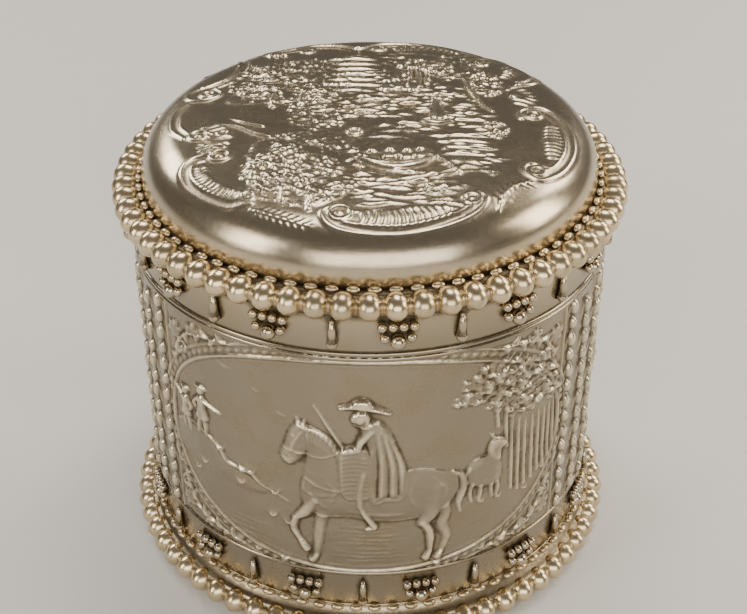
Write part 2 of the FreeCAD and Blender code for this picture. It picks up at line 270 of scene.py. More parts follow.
class Sheet:
    """A grid of heights in millimetres over a rectangle."""

    def __init__(self, left, right, low, high, step, wraps=False):
        self.left, self.low, self.step, self.wraps = left, low, step, wraps
        self.across = int(round((right - left) / step)) + (0 if wraps else 1)
        self.up = int(round((high - low) / step)) + 1
        self.height = np.zeros((self.up, self.across))

    def window(self, points, margin):
        """Row and column numbers round some points, and the place of each cell in them."""
        low, high = points.min(axis=0) - margin, points.max(axis=0) + margin
        c0, c1 = int((low[0] - self.left) / self.step), int((high[0] - self.left) / self.step) + 2
        r0, r1 = int((low[1] - self.low) / self.step), int((high[1] - self.low) / self.step) + 2
        if not self.wraps:
            c0, c1 = max(c0, 0), min(c1, self.across)
        r0, r1 = max(r0, 0), min(r1, self.up)
        if c1 <= c0 or r1 <= r0:
            return None
        columns, rows = np.arange(c0, c1), np.arange(r0, r1)
        x, y = np.meshgrid(self.left + columns * self.step, self.low + rows * self.step)
        return rows[:, None], columns[None, :] % self.across, x, y

    def press(self, cells, amount, how):
        """Put a window of heights on the sheet: over keeps the higher, add stacks, cut lowers."""
        rows, columns = cells
        old = self.height[rows, columns]
        if how == "over":
            new = np.maximum(old, amount)
        else:
            new = old + amount if how == "add" else old - amount
        self.height[rows, columns] = new

    def line(self, points, width, rise, ends=(1, 1), how="add", curved=True):
        """A rounded ridge along a path; ends are its relative widths at start and finish."""
        path = smooth(points) if curved and len(points) > 2 else np.array(points, float)
        found = self.window(path, width)
        if found is None:
            return
        rows, columns, x, y = found
        ridge = np.zeros_like(x)
        run = np.concatenate([[0], np.cumsum(np.hypot(*np.diff(path, axis=0).T))])
        along = run / run[-1]
        swell = np.interp(along, [0, 0.4, 0.6, 1], [ends[0], 1, 1, ends[1]])
        for (ax, ay), (bx, by), wa, wb in zip(path[:-1], path[1:], swell[:-1], swell[1:]):
            near = ((x[0] > min(ax, bx) - width) & (x[0] < max(ax, bx) + width)).nonzero()[0]
            tall = ((y[:, 0] > min(ay, by) - width) & (y[:, 0] < max(ay, by) + width)).nonzero()[0]
            if not len(near) or not len(tall):
                continue
            part = (slice(tall[0], tall[-1] + 1), slice(near[0], near[-1] + 1))
            px, py = x[part] - ax, y[part] - ay
            dx, dy = bx - ax, by - ay
            t = np.clip((px * dx + py * dy) / max(dx * dx + dy * dy, 1e-9), 0, 1)
            half = width / 2 * (wa + (wb - wa) * t)
            away = np.hypot(px - t * dx, py - t * dy) / np.maximum(half, 1e-3)
            size = np.minimum(1, 0.35 + 0.65 * (wa + (wb - wa) * t))
            ridge[part] = np.maximum(ridge[part], size * np.sqrt(np.clip(1 - away**2, 0, 1)))
        self.press((rows, columns), ridge * rise, how)

    def patch(self, outline, rise, edge, how="over", rim=0.0, curved=True):
        """A filled shape that swells up over the width of its edge; rim raises its border."""
        path = smooth(outline, closed=True, step=0.7) if curved else np.array(outline, float)
        found = self.window(path, 0.5)
        if found is None:
            return
        rows, columns, x, y = found
        inside = np.zeros(x.shape, bool)
        away = np.full(x.shape, 1e9)
        for (ax, ay), (bx, by) in zip(path, np.roll(path, -1, axis=0)):
            crosses = (ay > y) != (by > y)
            inside ^= crosses & (x < ax + (y - ay) * (bx - ax) / (by - ay if by != ay else 1e-9))
            dx, dy = bx - ax, by - ay
            t = np.clip(((x - ax) * dx + (y - ay) * dy) / max(dx * dx + dy * dy, 1e-9), 0, 1)
            away = np.minimum(away, (x - ax - t * dx) ** 2 + (y - ay - t * dy) ** 2)
        part = np.clip(np.sqrt(away) / edge, 0, 1)
        swell = np.where(inside, np.sqrt(np.clip(1 - (1 - part) ** 2, 0, 1)), 0)
        self.press((rows, columns), swell * rise, how)
        if rim:
            self.line(np.vstack([path, path[:1]]), 0.75, rim, curved=False)

    def bead(self, x, y, radius, rise, how="add", long=1.0, lean=0.0):
        """A round or oval bump; long stretches it along the lean (degrees)."""
        found = self.window(np.array([[x, y]]), radius * max(long, 1))
        if found is None:
            return
        rows, columns, gx, gy = found
        c, s = math.cos(math.radians(lean)), math.sin(math.radians(lean))
        u, v = ((gx - x) * c + (gy - y) * s) / long, (gy - y) * c - (gx - x) * s
        bump = np.sqrt(np.clip(1 - (u * u + v * v) / radius**2, 0, 1))
        self.press((rows, columns), bump * rise, how)

    def leaves(self, x, y, wide, tall, count, size, rise, seed, lean=0, spread=40, long=1.9):
        """Scatter little leaves over an oval round (x, y) that reaches wide and tall to each side."""
        dice = np.random.default_rng(seed)
        for px, py in zip(dice.uniform(x - wide, x + wide, count), dice.uniform(y - tall, y + tall, count)):
            angle, big = lean + dice.normal(0, spread), dice.uniform(0.6, 1.15)
            if ((px - x) / wide) ** 2 + ((py - y) / tall) ** 2 < 1:
                how = "over" if dice.random() < 0.5 else "add"
                self.bead(px, py, size * big, rise * big, how, long, angle)

    def hammer(self, size, depth, seed, inside=None):
        """Uneven marks of about one size over the sheet, or over the part where inside is 1."""
        marks = np.random.default_rng(seed).normal(size=self.height.shape)
        marks = blurred(marks, size / self.step, self.wraps)
        marks *= depth / marks.std()
        self.height += marks if inside is None else marks * inside

    def soften(self, amount, most):
        """Blur the relief a little and keep it under a limit, as the metal only stretches so far."""
        self.height = most * np.tanh(blurred(self.height, amount / self.step, self.wraps) / most)

    def recess(self):
        """How far each point lies below what is round it: 0 on high or open ground, 1 in a deep hollow."""
        near = blurred(self.height, 0.45 / self.step, self.wraps) - self.height
        wide = blurred(self.height, 1.6 / self.step, self.wraps) - self.height
        return np.clip(near / 0.14, 0, 1) * 0.5 + np.clip(wide / 0.5, 0, 1) * 0.5

    def rubbed_and_highlight(self):
        """How far each point stands up: 1 on a ridge that the cloth rubs and that gets a painted highlight, 0
        on open ground.
        """
        return np.clip((self.height - blurred(self.height, 1.0 / self.step, self.wraps)) / 0.24 - 0.2, 0, 1)

    def sample(self, grid, x, y):
        """Read a grid at any places, smoothly between its cells."""
        c = (x - self.left) / self.step
        r = np.clip((y - self.low) / self.step, 0, self.up - 1.001)
        c = c % self.across if self.wraps else np.clip(c, 0, self.across - 1.001)
        c0, r0 = np.floor(c).astype(int) % self.across, np.floor(r).astype(int)
        c1 = (c0 + 1) % self.across
        fc, fr = c - np.floor(c), r - r0
        return ((grid[r0, c0] * (1 - fc) + grid[r0, c1] * fc) * (1 - fr)
                + (grid[r0 + 1, c0] * (1 - fc) + grid[r0 + 1, c1] * fc) * fr)


def blurred(grid, sigma, wraps):
    """A Gaussian blur, row by row and column by column; a wrapping grid goes on round its ends."""
    size = int(3 * sigma) + 1
    weights = np.exp(-0.5 * (np.arange(-size, size + 1) / sigma) ** 2)
    weights /= weights.sum()
    padded = np.pad(grid, ((0, 0), (size, size)), mode="wrap" if wraps else "edge")
    padded = sum(w * padded[:, i:i + grid.shape[1]] for i, w in enumerate(weights))
    padded = np.pad(padded, ((size, size), (0, 0)), mode="edge")
    return sum(w * padded[i:i + grid.shape[0]] for i, w in enumerate(weights))


# %% [markdown]
# ## The wall: three oval pictures between columns
# The wall is divided by three upright columns of husks. Between them are oval pictures framed by a
# double line with leaves, and the corners outside the ovals are filled with scrolls and blossoms. The
# sheet below is the wall rolled flat: across is the distance round the wall, up is the height.

# %% Where columns and ovals are
wall = Sheet(-ROUND / 2, ROUND / 2, BORDER - 1, WALL_TOP, ROUND / 1560, wraps=True)
COLUMNS = (-57.0, 54.0, 155.6)
COLUMN_HALF = 9.4
PANEL_LOW, PANEL_TOP = BORDER + 0.5, WALL_TOP - WIRE
OVAL_HALF_HEIGHT = (PANEL_TOP - PANEL_LOW) / 2 - 0.2
OVAL_CENTRE = (PANEL_TOP + PANEL_LOW) / 2
SQUARED = 0.88
STRETCHES = list(zip(COLUMNS, (COLUMNS[1], COLUMNS[2], COLUMNS[0] + ROUND)))


def oval(middle, half_width, grow=0.0, count=72):
    """Points round a slightly squared oval, grown outward by some millimetres."""
    made = []
    for angle in np.linspace(0, 2 * math.pi, count, endpoint=False):
        c, s = math.cos(angle), math.sin(angle)
        x = (half_width + grow) * math.copysign(abs(c) ** SQUARED, c)
        y = (OVAL_HALF_HEIGHT + grow) * math.copysign(abs(s) ** SQUARED, s)
        made.append((middle + x, OVAL_CENTRE + y))
    return made


def oval_frame(middle, half_width):
    """Two strong lines with a row of small leaves between, and a fine line inside."""
    for grow, width, rise in ((0.0, 0.8, 0.42), (-1.1, 0.35, 0.16), (2.6, 0.55, 0.32)):
        ring = oval(middle, half_width, grow)
        wall.line(ring + ring[:1], width, rise)
    path = smooth(oval(middle, half_width, 1.35), closed=True, step=0.5)
    for i in range(0, len(path), 4):
        dx, dy = path[(i + 1) % len(path)] - path[i]
        wall.bead(*path[i], 0.55, 0.34, long=1.5, lean=math.degrees(math.atan2(dy, dx)) + 35)


def husks(x, low, high, gap=7.9, size=1.0):
    """An upright chain of bell husks: two side leaves, a middle leaf and a round berry, again and again."""
    y = high
    while y > low:
        for side in (-1, 1):
            tip = (x + side * 1.9 * size, y - 2.8 * size)
            bend = (x + side * 1.8 * size, y - 0.6 * size)
            wall.line([(x + side * 0.6, y + 1.4), bend, tip], 0.8 * size, 0.35, (0.5, 0.35), "over")
        wall.bead(x, y, 1.05 * size, 1.5, "over", 1.65, 90)
        wall.bead(x, y - 3.9 * size, 0.95 * size, 1.35, "over", 1.5, 90)
        wall.bead(x, y - 6.1 * size, 0.5 * size, 0.7, "over")
        y -= gap


def column(middle):
    """Three chains of husks between upright fillets."""
    for side in (-1, 1):
        wall.line([(middle + side * COLUMN_HALF, PANEL_LOW), (middle + side * COLUMN_HALF, PANEL_TOP)], 0.8,
                  0.35)
        husks(middle + side * 6.6, PANEL_LOW + 1, PANEL_TOP - 1.2)
    husks(middle, PANEL_LOW + 1, PANEL_TOP - 4.2, size=1.1)


def blossom(x, y, size, petals=5):
    """A small open flower."""
    for k in range(petals):
        angle = 360 / petals * k + 18
        c, s = math.cos(math.radians(angle)), math.sin(math.radians(angle))
        wall.bead(x + c * size, y + s * size, size * 0.62, 0.5, "over", 1.35, angle)
    wall.bead(x, y, size * 0.5, 0.35)


def corner(x, y, sx, sy, reach_x):
    """Scrolls, leaves and blossoms in a corner outside an oval; sx and sy point into its angle."""
    stem = [(x - sx * reach_x, y - sy * 0.6), (x - sx * reach_x * 0.66, y - sy * 1.6),
            (x - sx * reach_x * 0.34, y - sy * 3.4), (x - sx * 3.4, y - sy * 7.4),
            (x - sx * 1.6, y - sy * 13.0)]
    wall.line(stem, 0.8, 0.5, (0.5, 0.6))
    path = smooth(stem, step=2.1)
    for i, (px, py) in enumerate(path[1:-1]):
        toward = 1 if i % 2 else -1
        dx, dy = path[i + 2] - path[i]
        angle = math.atan2(dy, dx) + toward * 0.9
        tip = (px + 2.6 * math.cos(angle), py + 2.6 * math.sin(angle))
        bend = (px + 1.5 * math.cos(angle - toward * 0.35), py + 1.5 * math.sin(angle - toward * 0.35))
        wall.line([(px, py), bend, tip], 1.3, 0.5, (0.5, 0.3))
    blossom(x - sx * reach_x * 0.45, y - sy * 1.7, 1.15)
    blossom(x - sx * 2.4, y - sy * 4.1, 1.35, 6)
    spiral, eye = curl((x - sx * 3.2, y - sy * 9.0), 90 - sx * 40, 1.9, sx * sy)
    wall.line(spiral, 0.7, 0.5)
    wall.bead(*eye, 0.6, 0.5)


def panel(left_column, right_column):
    """The oval and its corners between two columns; gives back the oval's middle and half width."""
    left, right = left_column + COLUMN_HALF, right_column - COLUMN_HALF
    middle, half_width = (left + right) / 2, (right - left) / 2 - 0.3
    for sx, side in ((-1, left + 0.8), (1, right - 0.8)):
        corner(side, PANEL_TOP - 0.6, sx, 1, half_width * 0.42)
        corner(side, PANEL_LOW + 0.6, sx, -1, half_width * 0.42)
    wall.height[oval_inside(middle, half_width)] = 0
    oval_frame(middle, half_width)
    return middle, half_width


def oval_inside(middle, half_width):
    """True on the cells of the sheet that an oval covers."""
    x = wall.left + np.arange(wall.across) * wall.step
    y = wall.low + np.arange(wall.up) * wall.step
    x = (x - middle + ROUND / 2) % ROUND - ROUND / 2
    across, up = np.abs(x) / half_width, np.abs(y - OVAL_CENTRE) / OVAL_HALF_HEIGHT
    power = 2 / SQUARED
    return across[None, :] ** power + up[:, None] ** power < 1


for place in COLUMNS:
    column(place)
ovals = [panel(start, end) for start, end in STRETCHES]
print("ovals, middle and half width:", [(round(m, 1), round(w, 1)) for m, w in ovals])

# %% [markdown]
# ### The figures
# Small figures in low relief are built up like a sculptor's sketch: first the big masses as patches,
# then the limbs as tapering lines over them, then folds, harness and mane as fine lines on top.
# The people are plain types without features, save for the line of the rider's nose and chin. The rider
# is about 33 mm from boot to hat.

# %% The rider


def figure(x, y, size=1.0, turn=1):
    """A function that moves points from a figure's own origin to (x, y); turn -1 faces it the other way."""
    return lambda points: [(x + px * size * turn, y + py * size) for px, py in points]


def horse(x, y):
    """A horse that walks to the left with its near foreleg raised; the origin is under its belly."""
    on = figure(x, y)
    # far legs, then body, neck and head
    for leg in ([(-9.2, 15), (-10.2, 9), (-10.7, 4), (-11.1, 0.6)],
                [(14.5, 18), (15.6, 11.5), (15.0, 8.4), (16.0, 5), (14.9, 1)]):
        wall.line(on(leg), 2.3, 0.5, (1.3, 0.55), "over")
    body = [(-12.6, 22), (-9, 25), (-3, 24.6), (4, 23.4), (9, 24.1), (13, 23.4), (16.6, 21.6), (18.0, 18.6),
            (16.6, 14.6), (13.6, 12.6), (9, 11.4), (3, 11.2), (-4, 12.3), (-9, 12), (-12.6, 13.6),
            (-13.7, 17.6)]
    wall.patch(on(body), 0.7, 5.0, rim=0.22)
    neck = [(-13.9, 34.6), (-11, 34.1), (-8.5, 32.3), (-6.5, 29), (-4.6, 24), (-6, 19), (-10.5, 17.5),
            (-13.3, 18.6), (-12.9, 23), (-12.3, 26.8), (-12.8, 30), (-14.4, 32.6)]
    wall.patch(on(neck), 0.75, 3.2, rim=0.14)
    head = [(-13.8, 35.2), (-15.5, 33.4), (-16.7, 29.8), (-17.8, 27), (-17.5, 25.1), (-16.1, 24.3),
            (-14.7, 25.4), (-13, 27.8), (-12.1, 30.2), (-12.3, 33.4)]
    wall.patch(on(head), 0.9, 2.0, rim=0.18)
    # near legs, hooves and ears
    for leg, thick in (([(-11, 16), (-13.2, 12.4), (-15.3, 10.4)], 2.6),
                       ([(-15.2, 10.6), (-15.8, 7.4), (-14.6, 4.6)], 1.5),
                       ([(13.6, 19), (12.6, 13), (10.9, 9.8)], 4.2),
                       ([(10.9, 10), (12.4, 6.5), (12.5, 1.6)], 1.7)):
        wall.line(on(leg), thick, 0.9, (1, 0.6), "over")
    for hoof in ([(-14.7, 4.9), (-13.2, 2.2)], [(12.4, 1.8), (11.7, 0.1)], [(-11.1, 0.8), (-11.9, -0.5)],
                 [(14.9, 1.2), (14.1, -0.1)]):
        wall.line(on(hoof), 1.5, 0.95, (0.7, 1.2), "over")
    for ear in ([(-13.9, 34.9), (-14.4, 36.6)], [(-12.9, 34.7), (-12.9, 36.1)]):
        wall.line(on(ear), 0.9, 0.8, (1, 0.4))
    # mane and tail
    wall.line(on([(-13.6, 34.5), (-10.6, 33.8), (-8.2, 32.0), (-6.8, 29.8), (-5.6, 26.6)]), 0.9, 0.35)
    for k in range(9):
        mx, my = -12.6 + k * 0.85, 34.2 - k * k * 0.075
        wall.line(on([(mx, my), (mx - 0.5, my - 2.0), (mx + 0.2, my - 3.9)]), 0.45, 0.16, (1, 0.4))
    wall.line(on([(17.0, 22), (18.9, 20.4), (19.5, 17), (18.5, 13.4), (18.9, 10.6)]), 1.7, 0.6, (0.6, 0.3),
              "over")
    wall.line(on([(17.6, 21), (18.3, 17), (17.9, 13)]), 0.4, 0.2)
    # muscles, eye, mouth and harness
    for muscle in ([(-9.4, 22.6), (-7.0, 19.0), (-8.6, 14.6)], [(9.4, 22.4), (8.0, 18.2), (9.8, 13.6)],
                   [(12.4, 22.2), (15.4, 18.6), (14.6, 14.2)], [(-4.4, 14.0), (1.6, 13.0), (7.2, 13.2)],
                   [(-12.6, 19.6), (-11.2, 16.4), (-8.4, 14.2)]):
        wall.line(on(muscle), 1.0, 0.16, (0.3, 0.3))
    wall.bead(*on([(-15.0, 32.2)])[0], 0.45, 0.3)
    wall.line(on([(-17.0, 26.9), (-16.2, 26.3)]), 0.4, 0.3, how="cut")
    for strap in ([(-13.2, 33.6), (-14.9, 30.6), (-15.6, 28.4)],
                  [(-17.2, 28.6), (-15.6, 28.4), (-13.6, 28.0)],
                  [(-14.4, 28.0), (-9.6, 27.6), (-5.4, 29.2)], [(-12.9, 21.6), (-9.4, 19.6), (-6.0, 19.4)]):
        wall.line(on(strap), 0.45, 0.3)


def rider(x, y):
    """A horseman in a wide hat and a long cloak, with a saddle cloth and a long whip."""
    on = figure(x, y)
    # saddle cloth with its border and folds
    wall.patch(on([(-6.2, 29.2), (-0.2, 29.4), (0.4, 17.6), (-2, 16.8), (-5.6, 17.8)]), 0.95, 1.4)
    wall.line(on([(-5.6, 28.6), (-5.2, 18.6), (-2.0, 17.6), (-0.1, 18.2)]), 0.45, 0.22)
    for k in range(9):
        wall.line(on([(-5.2, 28.0 - k * 1.15), (-2.8, 28.3 - k * 1.15), (-0.4, 28.1 - k * 1.15)]), 0.6, 0.16)
    # leg and boot
    wall.line(on([(-1.2, 24), (-2.0, 19), (-1.9, 15.3)]), 2.2, 1.35, (1, 0.7), "over")
    wall.line(on([(-1.9, 15.3), (-0.7, 12.6), (1.0, 9.6)]), 1.2, 1.2, (0.8, 1), "over")
    wall.line(on([(1.1, 9.6), (-0.8, 8.9)]), 0.9, 1.1, (1, 0.5), "over")
    # cloak
    cloak = [(-1.6, 35.9), (1.2, 36.6), (3.2, 34.6), (5.0, 30.6), (6.7, 26), (7.4, 22), (6.9, 18.2),
             (5.4, 17), (3.2, 17.2), (0.7, 16.4), (0.2, 22), (0.0, 29)]
    wall.patch(on(cloak), 1.1, 2.4, rim=0.2)
    for fold in ([(0.9, 34), (1.6, 27), (1.5, 18)], [(2.3, 34), (3.6, 26), (3.7, 18)],
                 [(3.6, 32.4), (5.4, 26), (5.7, 18.6)]):
        wall.line(on(fold), 0.8, 0.42, (0.4, 1), "cut")
        wall.line([(px + 0.75, py) for px, py in on(fold)], 0.6, 0.2, (0.4, 1))
    wall.line(on([(0.4, 30), (0.5, 24), (0.9, 17)]), 0.5, 0.3)
    wall.line(on([(1.6, 36.6), (3.4, 34.8), (4.6, 31.8)]), 0.6, 0.25)
    # arm and hand
    wall.line(on([(0.4, 34.8), (-1.4, 32.4), (-2.2, 30.2)]), 1.7, 1.45, (1, 0.8), "over")
    wall.line(on([(-2.2, 30.0), (-4.9, 29.2)]), 1.1, 1.4, (1, 0.7), "over")
    wall.bead(*on([(-5.2, 29.3)])[0], 0.55, 1.4, "over")
    # head, hair and collar, then the hat and the whip
    wall.bead(*on([(-1.7, 37.7)])[0], 1.25, 1.25, "over", 1.35, 80)
    wall.line(on([(-2.9, 38.2), (-3.3, 37.3), (-2.9, 36.8)]), 0.55, 0.9, how="over")
    wall.line(on([(-0.9, 38.9), (-0.3, 37.6), (-0.5, 36.6)]), 0.9, 1.1, how="over")
    wall.line(on([(-2.8, 36.1), (-1.4, 35.6), (0.4, 36.3)]), 0.8, 0.4)
    wall.patch(on([(-3.4, 40.4), (-3.1, 41.7), (-1.5, 42.3), (0.1, 41.8), (0.6, 40.1), (-1.4, 40.5)]), 1.5,
               0.8)
    wall.line(on([(-5.7, 40.0), (-3.2, 40.5), (0.2, 40.2), (3.9, 38.8)]), 1.15, 1.5, (0.6, 0.6), "over")
    wall.line(on([(-4.9, 29.4), (-7.5, 34), (-10.9, 40)]), 0.5, 0.55, (1, 0.5))


def walker(x, y, size, turn=1, arm=20):
    """A small standing figure, arm raised by some degrees."""
    on = figure(x, y, size, turn)
    wall.line(on([(0.2, 5.6), (0.9, 2.6), (0.7, 0)]), 1.3 * size, 0.6, (1, 0.6), "over")
    wall.line(on([(-0.2, 5.6), (-0.9, 2.8), (-1.4, 0)]), 1.3 * size, 0.7, (1, 0.6), "over")
    wall.patch(on([(-1.2, 9.6), (0.0, 10.2), (1.2, 9.5), (1.2, 7), (1.9, 4.2), (0, 3.6), (-1.8, 4.2),
                   (-1.1, 7)]), 0.85, 1.0 * size)
    wall.bead(*on([(0, 11.3)])[0], 1.0 * size, 0.9, "over")
    wall.line(on([(-1.6, 12.0), (0, 12.4), (1.6, 12.0)]), 0.7 * size, 0.9, (0.7, 0.7), "over")
    rise = math.radians(arm)
    hand = (1.0 + 4.6 * math.cos(rise), 8.8 + 4.6 * math.sin(rise))
    wall.line(on([(0.8, 9.0), hand]), 0.9 * size, 0.85, (1, 0.6), "over")
    wall.line(on([(-0.9, 9.0), (-2.2, 7.4), (-1.4, 6.0)]), 0.9 * size, 0.8, (1, 0.6), "over")


# %% [markdown]
# ### Trees, ground and water
# Foliage is a scatter of little leaves from a blunt oval punch, laid in tiers. Trunks are upright
# tapering lines, and ground and water are strokes that follow the lie of the land.

# %% Landscape pieces


def tree(x, low, tall, wide, seed, stems=1):
    """A tree with one or several trunks and a crown of leaves in tiers."""
    dice = np.random.default_rng(seed)
    for k in range(stems):
        foot = x + (k - (stems - 1) / 2) * 1.7
        knee = (foot + dice.uniform(-0.4, 0.4), low + tall * 0.35)
        fork = (foot + dice.uniform(-0.7, 0.7), low + tall * 0.72)
        wall.line([(foot, low), knee, fork], 1.0, 0.5, (1.3, 0.7), "over")
    for k in range(4):
        cy = low + tall * (0.5 + 0.14 * k)
        cx = x + dice.uniform(-0.2, 0.2) * wide
        rx, ry = wide * (0.5 - 0.07 * k), tall * 0.13
        wall.leaves(cx, cy, rx, ry, int(rx * ry * 5), 0.55, 0.42, seed + k, lean=-10)


def tuft(x, y, size, seed):
    """A tuft of grass."""
    dice = np.random.default_rng(seed)
    for k in range(6):
        lean = (k - 2.5) * 0.35
        tip = (x + lean * 1.6 * size, y + dice.uniform(1.0, 1.7) * size)
        wall.line([(x + lean * 0.5, y), tip], 0.5, 0.3, (1, 0.3))


def ripples(x0, x1, y0, y1, gap, seed, rise=0.12):
    """Level strokes of uneven length, for water or trodden ground."""
    dice = np.random.default_rng(seed)
    for y in np.arange(y0, y1, gap):
        a, b = x0 + dice.uniform(0, 0.3) * (x1 - x0), x1 - dice.uniform(0, 0.3) * (x1 - x0)
        wall.line([(a, y), ((a + b) / 2, y + dice.uniform(-0.25, 0.25)), (b, y)], 0.45, rise, (0.3, 0.3))


def cow(x, y, size=1.0, turn=1):
    """A standing cow."""
    on = figure(x, y, size, turn)
    for leg in ([(-4.4, 5), (-4.6, 0)], [(4.6, 6), (5.0, 3), (4.6, 0)]):
        wall.line(on(leg), 1.1 * size, 0.4, (1.3, 0.7), "over")
    wall.patch(on([(-6, 9.4), (-2, 9.9), (3, 9.6), (6, 9.7), (6.8, 7.6), (5.6, 4.8), (1, 4.2), (-3, 3.9),
                   (-6, 5.2), (-6.8, 7.4)]), 0.75, 2.0 * size)
    wall.patch(on([(-6, 9.6), (-7.4, 10.8), (-9.2, 9.6), (-10.2, 7.4), (-9.2, 6.6), (-7.6, 7.6),
                   (-6, 6.6)]), 0.85, 1.1 * size)
    for leg in ([(-5.6, 5.4), (-5.8, 2.6), (-5.7, 0)], [(5.8, 6.4), (6.4, 3), (6.1, 0)]):
        wall.line(on(leg), 1.3 * size, 0.75, (1.3, 0.7), "over")
    wall.line(on([(6.8, 8.8), (7.6, 6.4), (7.3, 3.4)]), 0.5 * size, 0.4)
    wall.line(on([(-7.8, 10.6), (-8.4, 11.9)]), 0.5 * size, 0.6)


def cottage(x, y):
    """A thatched cottage with a door, windows and a chimney."""
    wall.patch([(x - 7, y), (x - 7, y + 6.4), (x + 7, y + 6.4), (x + 7, y)], 0.5, 0.5, curved=False)
    wall.patch([(x - 8.4, y + 6), (x - 5.4, y + 11.6), (x + 5.4, y + 11.6), (x + 8.4, y + 6)], 0.8, 0.9,
               curved=False)
    for k in range(16):
        wall.line([(x - 5.2 + k * 0.7, y + 11.3), (x - 8.0 + k * 1.07, y + 6.3)], 0.4, 0.16)
    wall.patch([(x + 2.4, y + 11), (x + 2.4, y + 14), (x + 4.2, y + 14), (x + 4.2, y + 11)], 0.7, 0.4,
               curved=False)
    wall.line([(x - 1, y + 0.2), (x - 1, y + 4.4), (x + 1.2, y + 4.4), (x + 1.2, y + 0.2)], 0.4, 0.3,
              curved=False)
    for wx in (-4.6, 4.2):
        wall.line([(x + wx - 0.9, y + 2.4), (x + wx - 0.9, y + 4.4), (x + wx + 0.9, y + 4.4),
                   (x + wx + 0.9, y + 2.4), (x + wx - 0.9, y + 2.4)], 0.35, 0.28, curved=False)


def mill(x, y):
    """A windmill with four latticed sails."""
    wall.patch([(x - 4, y), (x - 2.4, y + 13), (x + 2.4, y + 13), (x + 4, y)], 0.8, 2.0, curved=False)
    wall.patch([(x - 2.9, y + 12.6), (x - 1.4, y + 15.6), (x + 1.6, y + 15.6), (x + 2.9, y + 12.6)], 0.95,
               0.9)
    hub, sail = y + 13.6, 1.9
    for k in range(4):
        angle = math.radians(32 + 90 * k)
        c, s = math.cos(angle), math.sin(angle)
        wall.line([(x, hub), (x + 10.5 * c, hub + 10.5 * s)], 0.6, 1.2, how="over")
        for far in np.arange(2.4, 10.4, 0.9):
            arm = (x + far * c, hub + far * s)
            wall.line([arm, (arm[0] - sail * s, arm[1] + sail * c)], 0.4, 1.0, how="over")
        ends = [(x + far * c - sail * s, hub + far * s + sail * c) for far in (2.4, 10.2)]
        wall.line(ends, 0.4, 1.0, how="over")
    wall.bead(x, hub, 0.8, 1.3, "over")


# %% The front picture: a horseman on a road between a wood and a hillside
# the wood: trunks and crowns
for x, low, tall in ((30.6, 32, 19), (32.4, 31, 19), (34.2, 31.5, 17), (36.2, 32, 17), (38.0, 33, 16),
                     (39.7, 34, 15), (41.3, 35, 14), (42.8, 36, 13), (28.8, 44, 12), (26.4, 50, 8)):
    wall.line([(x + 0.5, low), (x, low + tall * 0.5), (x - 0.2, low + tall)], 0.8, 0.5, (1.0, 0.6), "over")
CROWNS = ((21, 59, 4.5, 1.7), (23, 62.5, 5, 1.8), (29, 60.5, 6, 3.0), (27, 65, 5, 1.6), (35, 62, 5, 2.2),
          (30, 56, 6, 2.4), (37, 57, 6, 3.6), (40, 52.5, 4, 2.2), (34, 52.6, 5, 1.8))
for i, (cx, cy, rx, ry) in enumerate(CROWNS):
    wall.leaves(cx, cy, rx, ry, int(rx * ry * 9), 0.42, 0.34, 40 + i, lean=-12, spread=25, long=2.2)
# the hillside and tufts of grass
HILL = [(-46, 42.6), (-42, 44.6), (-36, 43.4), (-33, 41.6), (-31, 39.2), (-27.6, 38.9), (-25, 38.5),
        (-23.4, 37), (-20, 35.6), (-16.8, 34)]
wall.line(HILL, 1.0, 0.5, (0.4, 0.4))
wall.patch([(-47, 42), (-42, 44), (-36, 42.8), (-32, 39.4), (-26, 37.6), (-21, 35), (-27, 33.6),
            (-36, 34.6), (-46, 36)], 0.3, 4, "add")
TUFTS = ((-27, 38.8), (-25, 38.9), (-32.6, 41.8), (-27.6, 35.3), (-19.6, 35.6), (-20.4, 29.2), (-17, 28.2),
         (-40, 33), (-46, 31), (-29, 18.8), (-24, 18.4), (-18, 18.0), (14, 18.2), (24, 18.6), (29, 19),
         (27.8, 31.4), (23.6, 31.8), (-37.4, 35.8), (35, 30), (40, 33))
for i, (x, y) in enumerate(TUFTS):
    tuft(x, y, 1.15, 80 + i)
# two people on the hill, trodden ground, a small animal, the horseman and birds
walker(-37.4, 43.2, 0.98, 1, -12)
walker(-42.6, 42.0, 0.86, -1, 35)
ripples(-9.5, 9.5, 20, 29.5, 1.15, 5)
ripples(17, 30, 21, 27, 1.3, 6, 0.09)
ripples(-36, -18, 21.5, 27, 1.4, 7, 0.09)
for leg in ([(21.6, 38), (21.0, 35), (21.3, 32.4)], [(23.2, 37), (23.4, 34.4), (22.9, 32.2)],
            [(27.0, 37), (27.6, 34.2), (27.2, 31.8)], [(25.8, 37), (25.9, 34.4), (26.2, 32)]):
    wall.line(leg, 0.95, 0.5, (1.3, 0.7), "over")
wall.patch([(20.5, 42), (23, 43.6), (26.5, 42.5), (28, 39.5), (27.5, 36), (24, 36), (21, 37.5)], 0.6, 1.8,
           rim=0.2)
wall.patch([(25.2, 42.4), (24.6, 45.6), (26.2, 47.6), (28.4, 46.6), (29.6, 45.0), (28.0, 44.2),
            (27.8, 41.4)], 0.75, 0.9)
wall.line([(26.0, 47.4), (25.2, 49.0)], 0.5, 0.5)
wall.line([(20.6, 41.6), (19.8, 39.4), (20.4, 37.6)], 0.6, 0.4)
horse(0, 20.0)
rider(0, 20.0)
for x, y, size in ((-30.4, 63.6, 1.2), (-17.5, 56.2, 0.8), (-23, 60.4, 0.7)):
    wall.line([(x - 1.7 * size, y + 0.9 * size), (x, y), (x + 1.8 * size, y - 0.2 * size)], 0.4, 0.28,
              (0.3, 0.3))
print("front picture drawn")

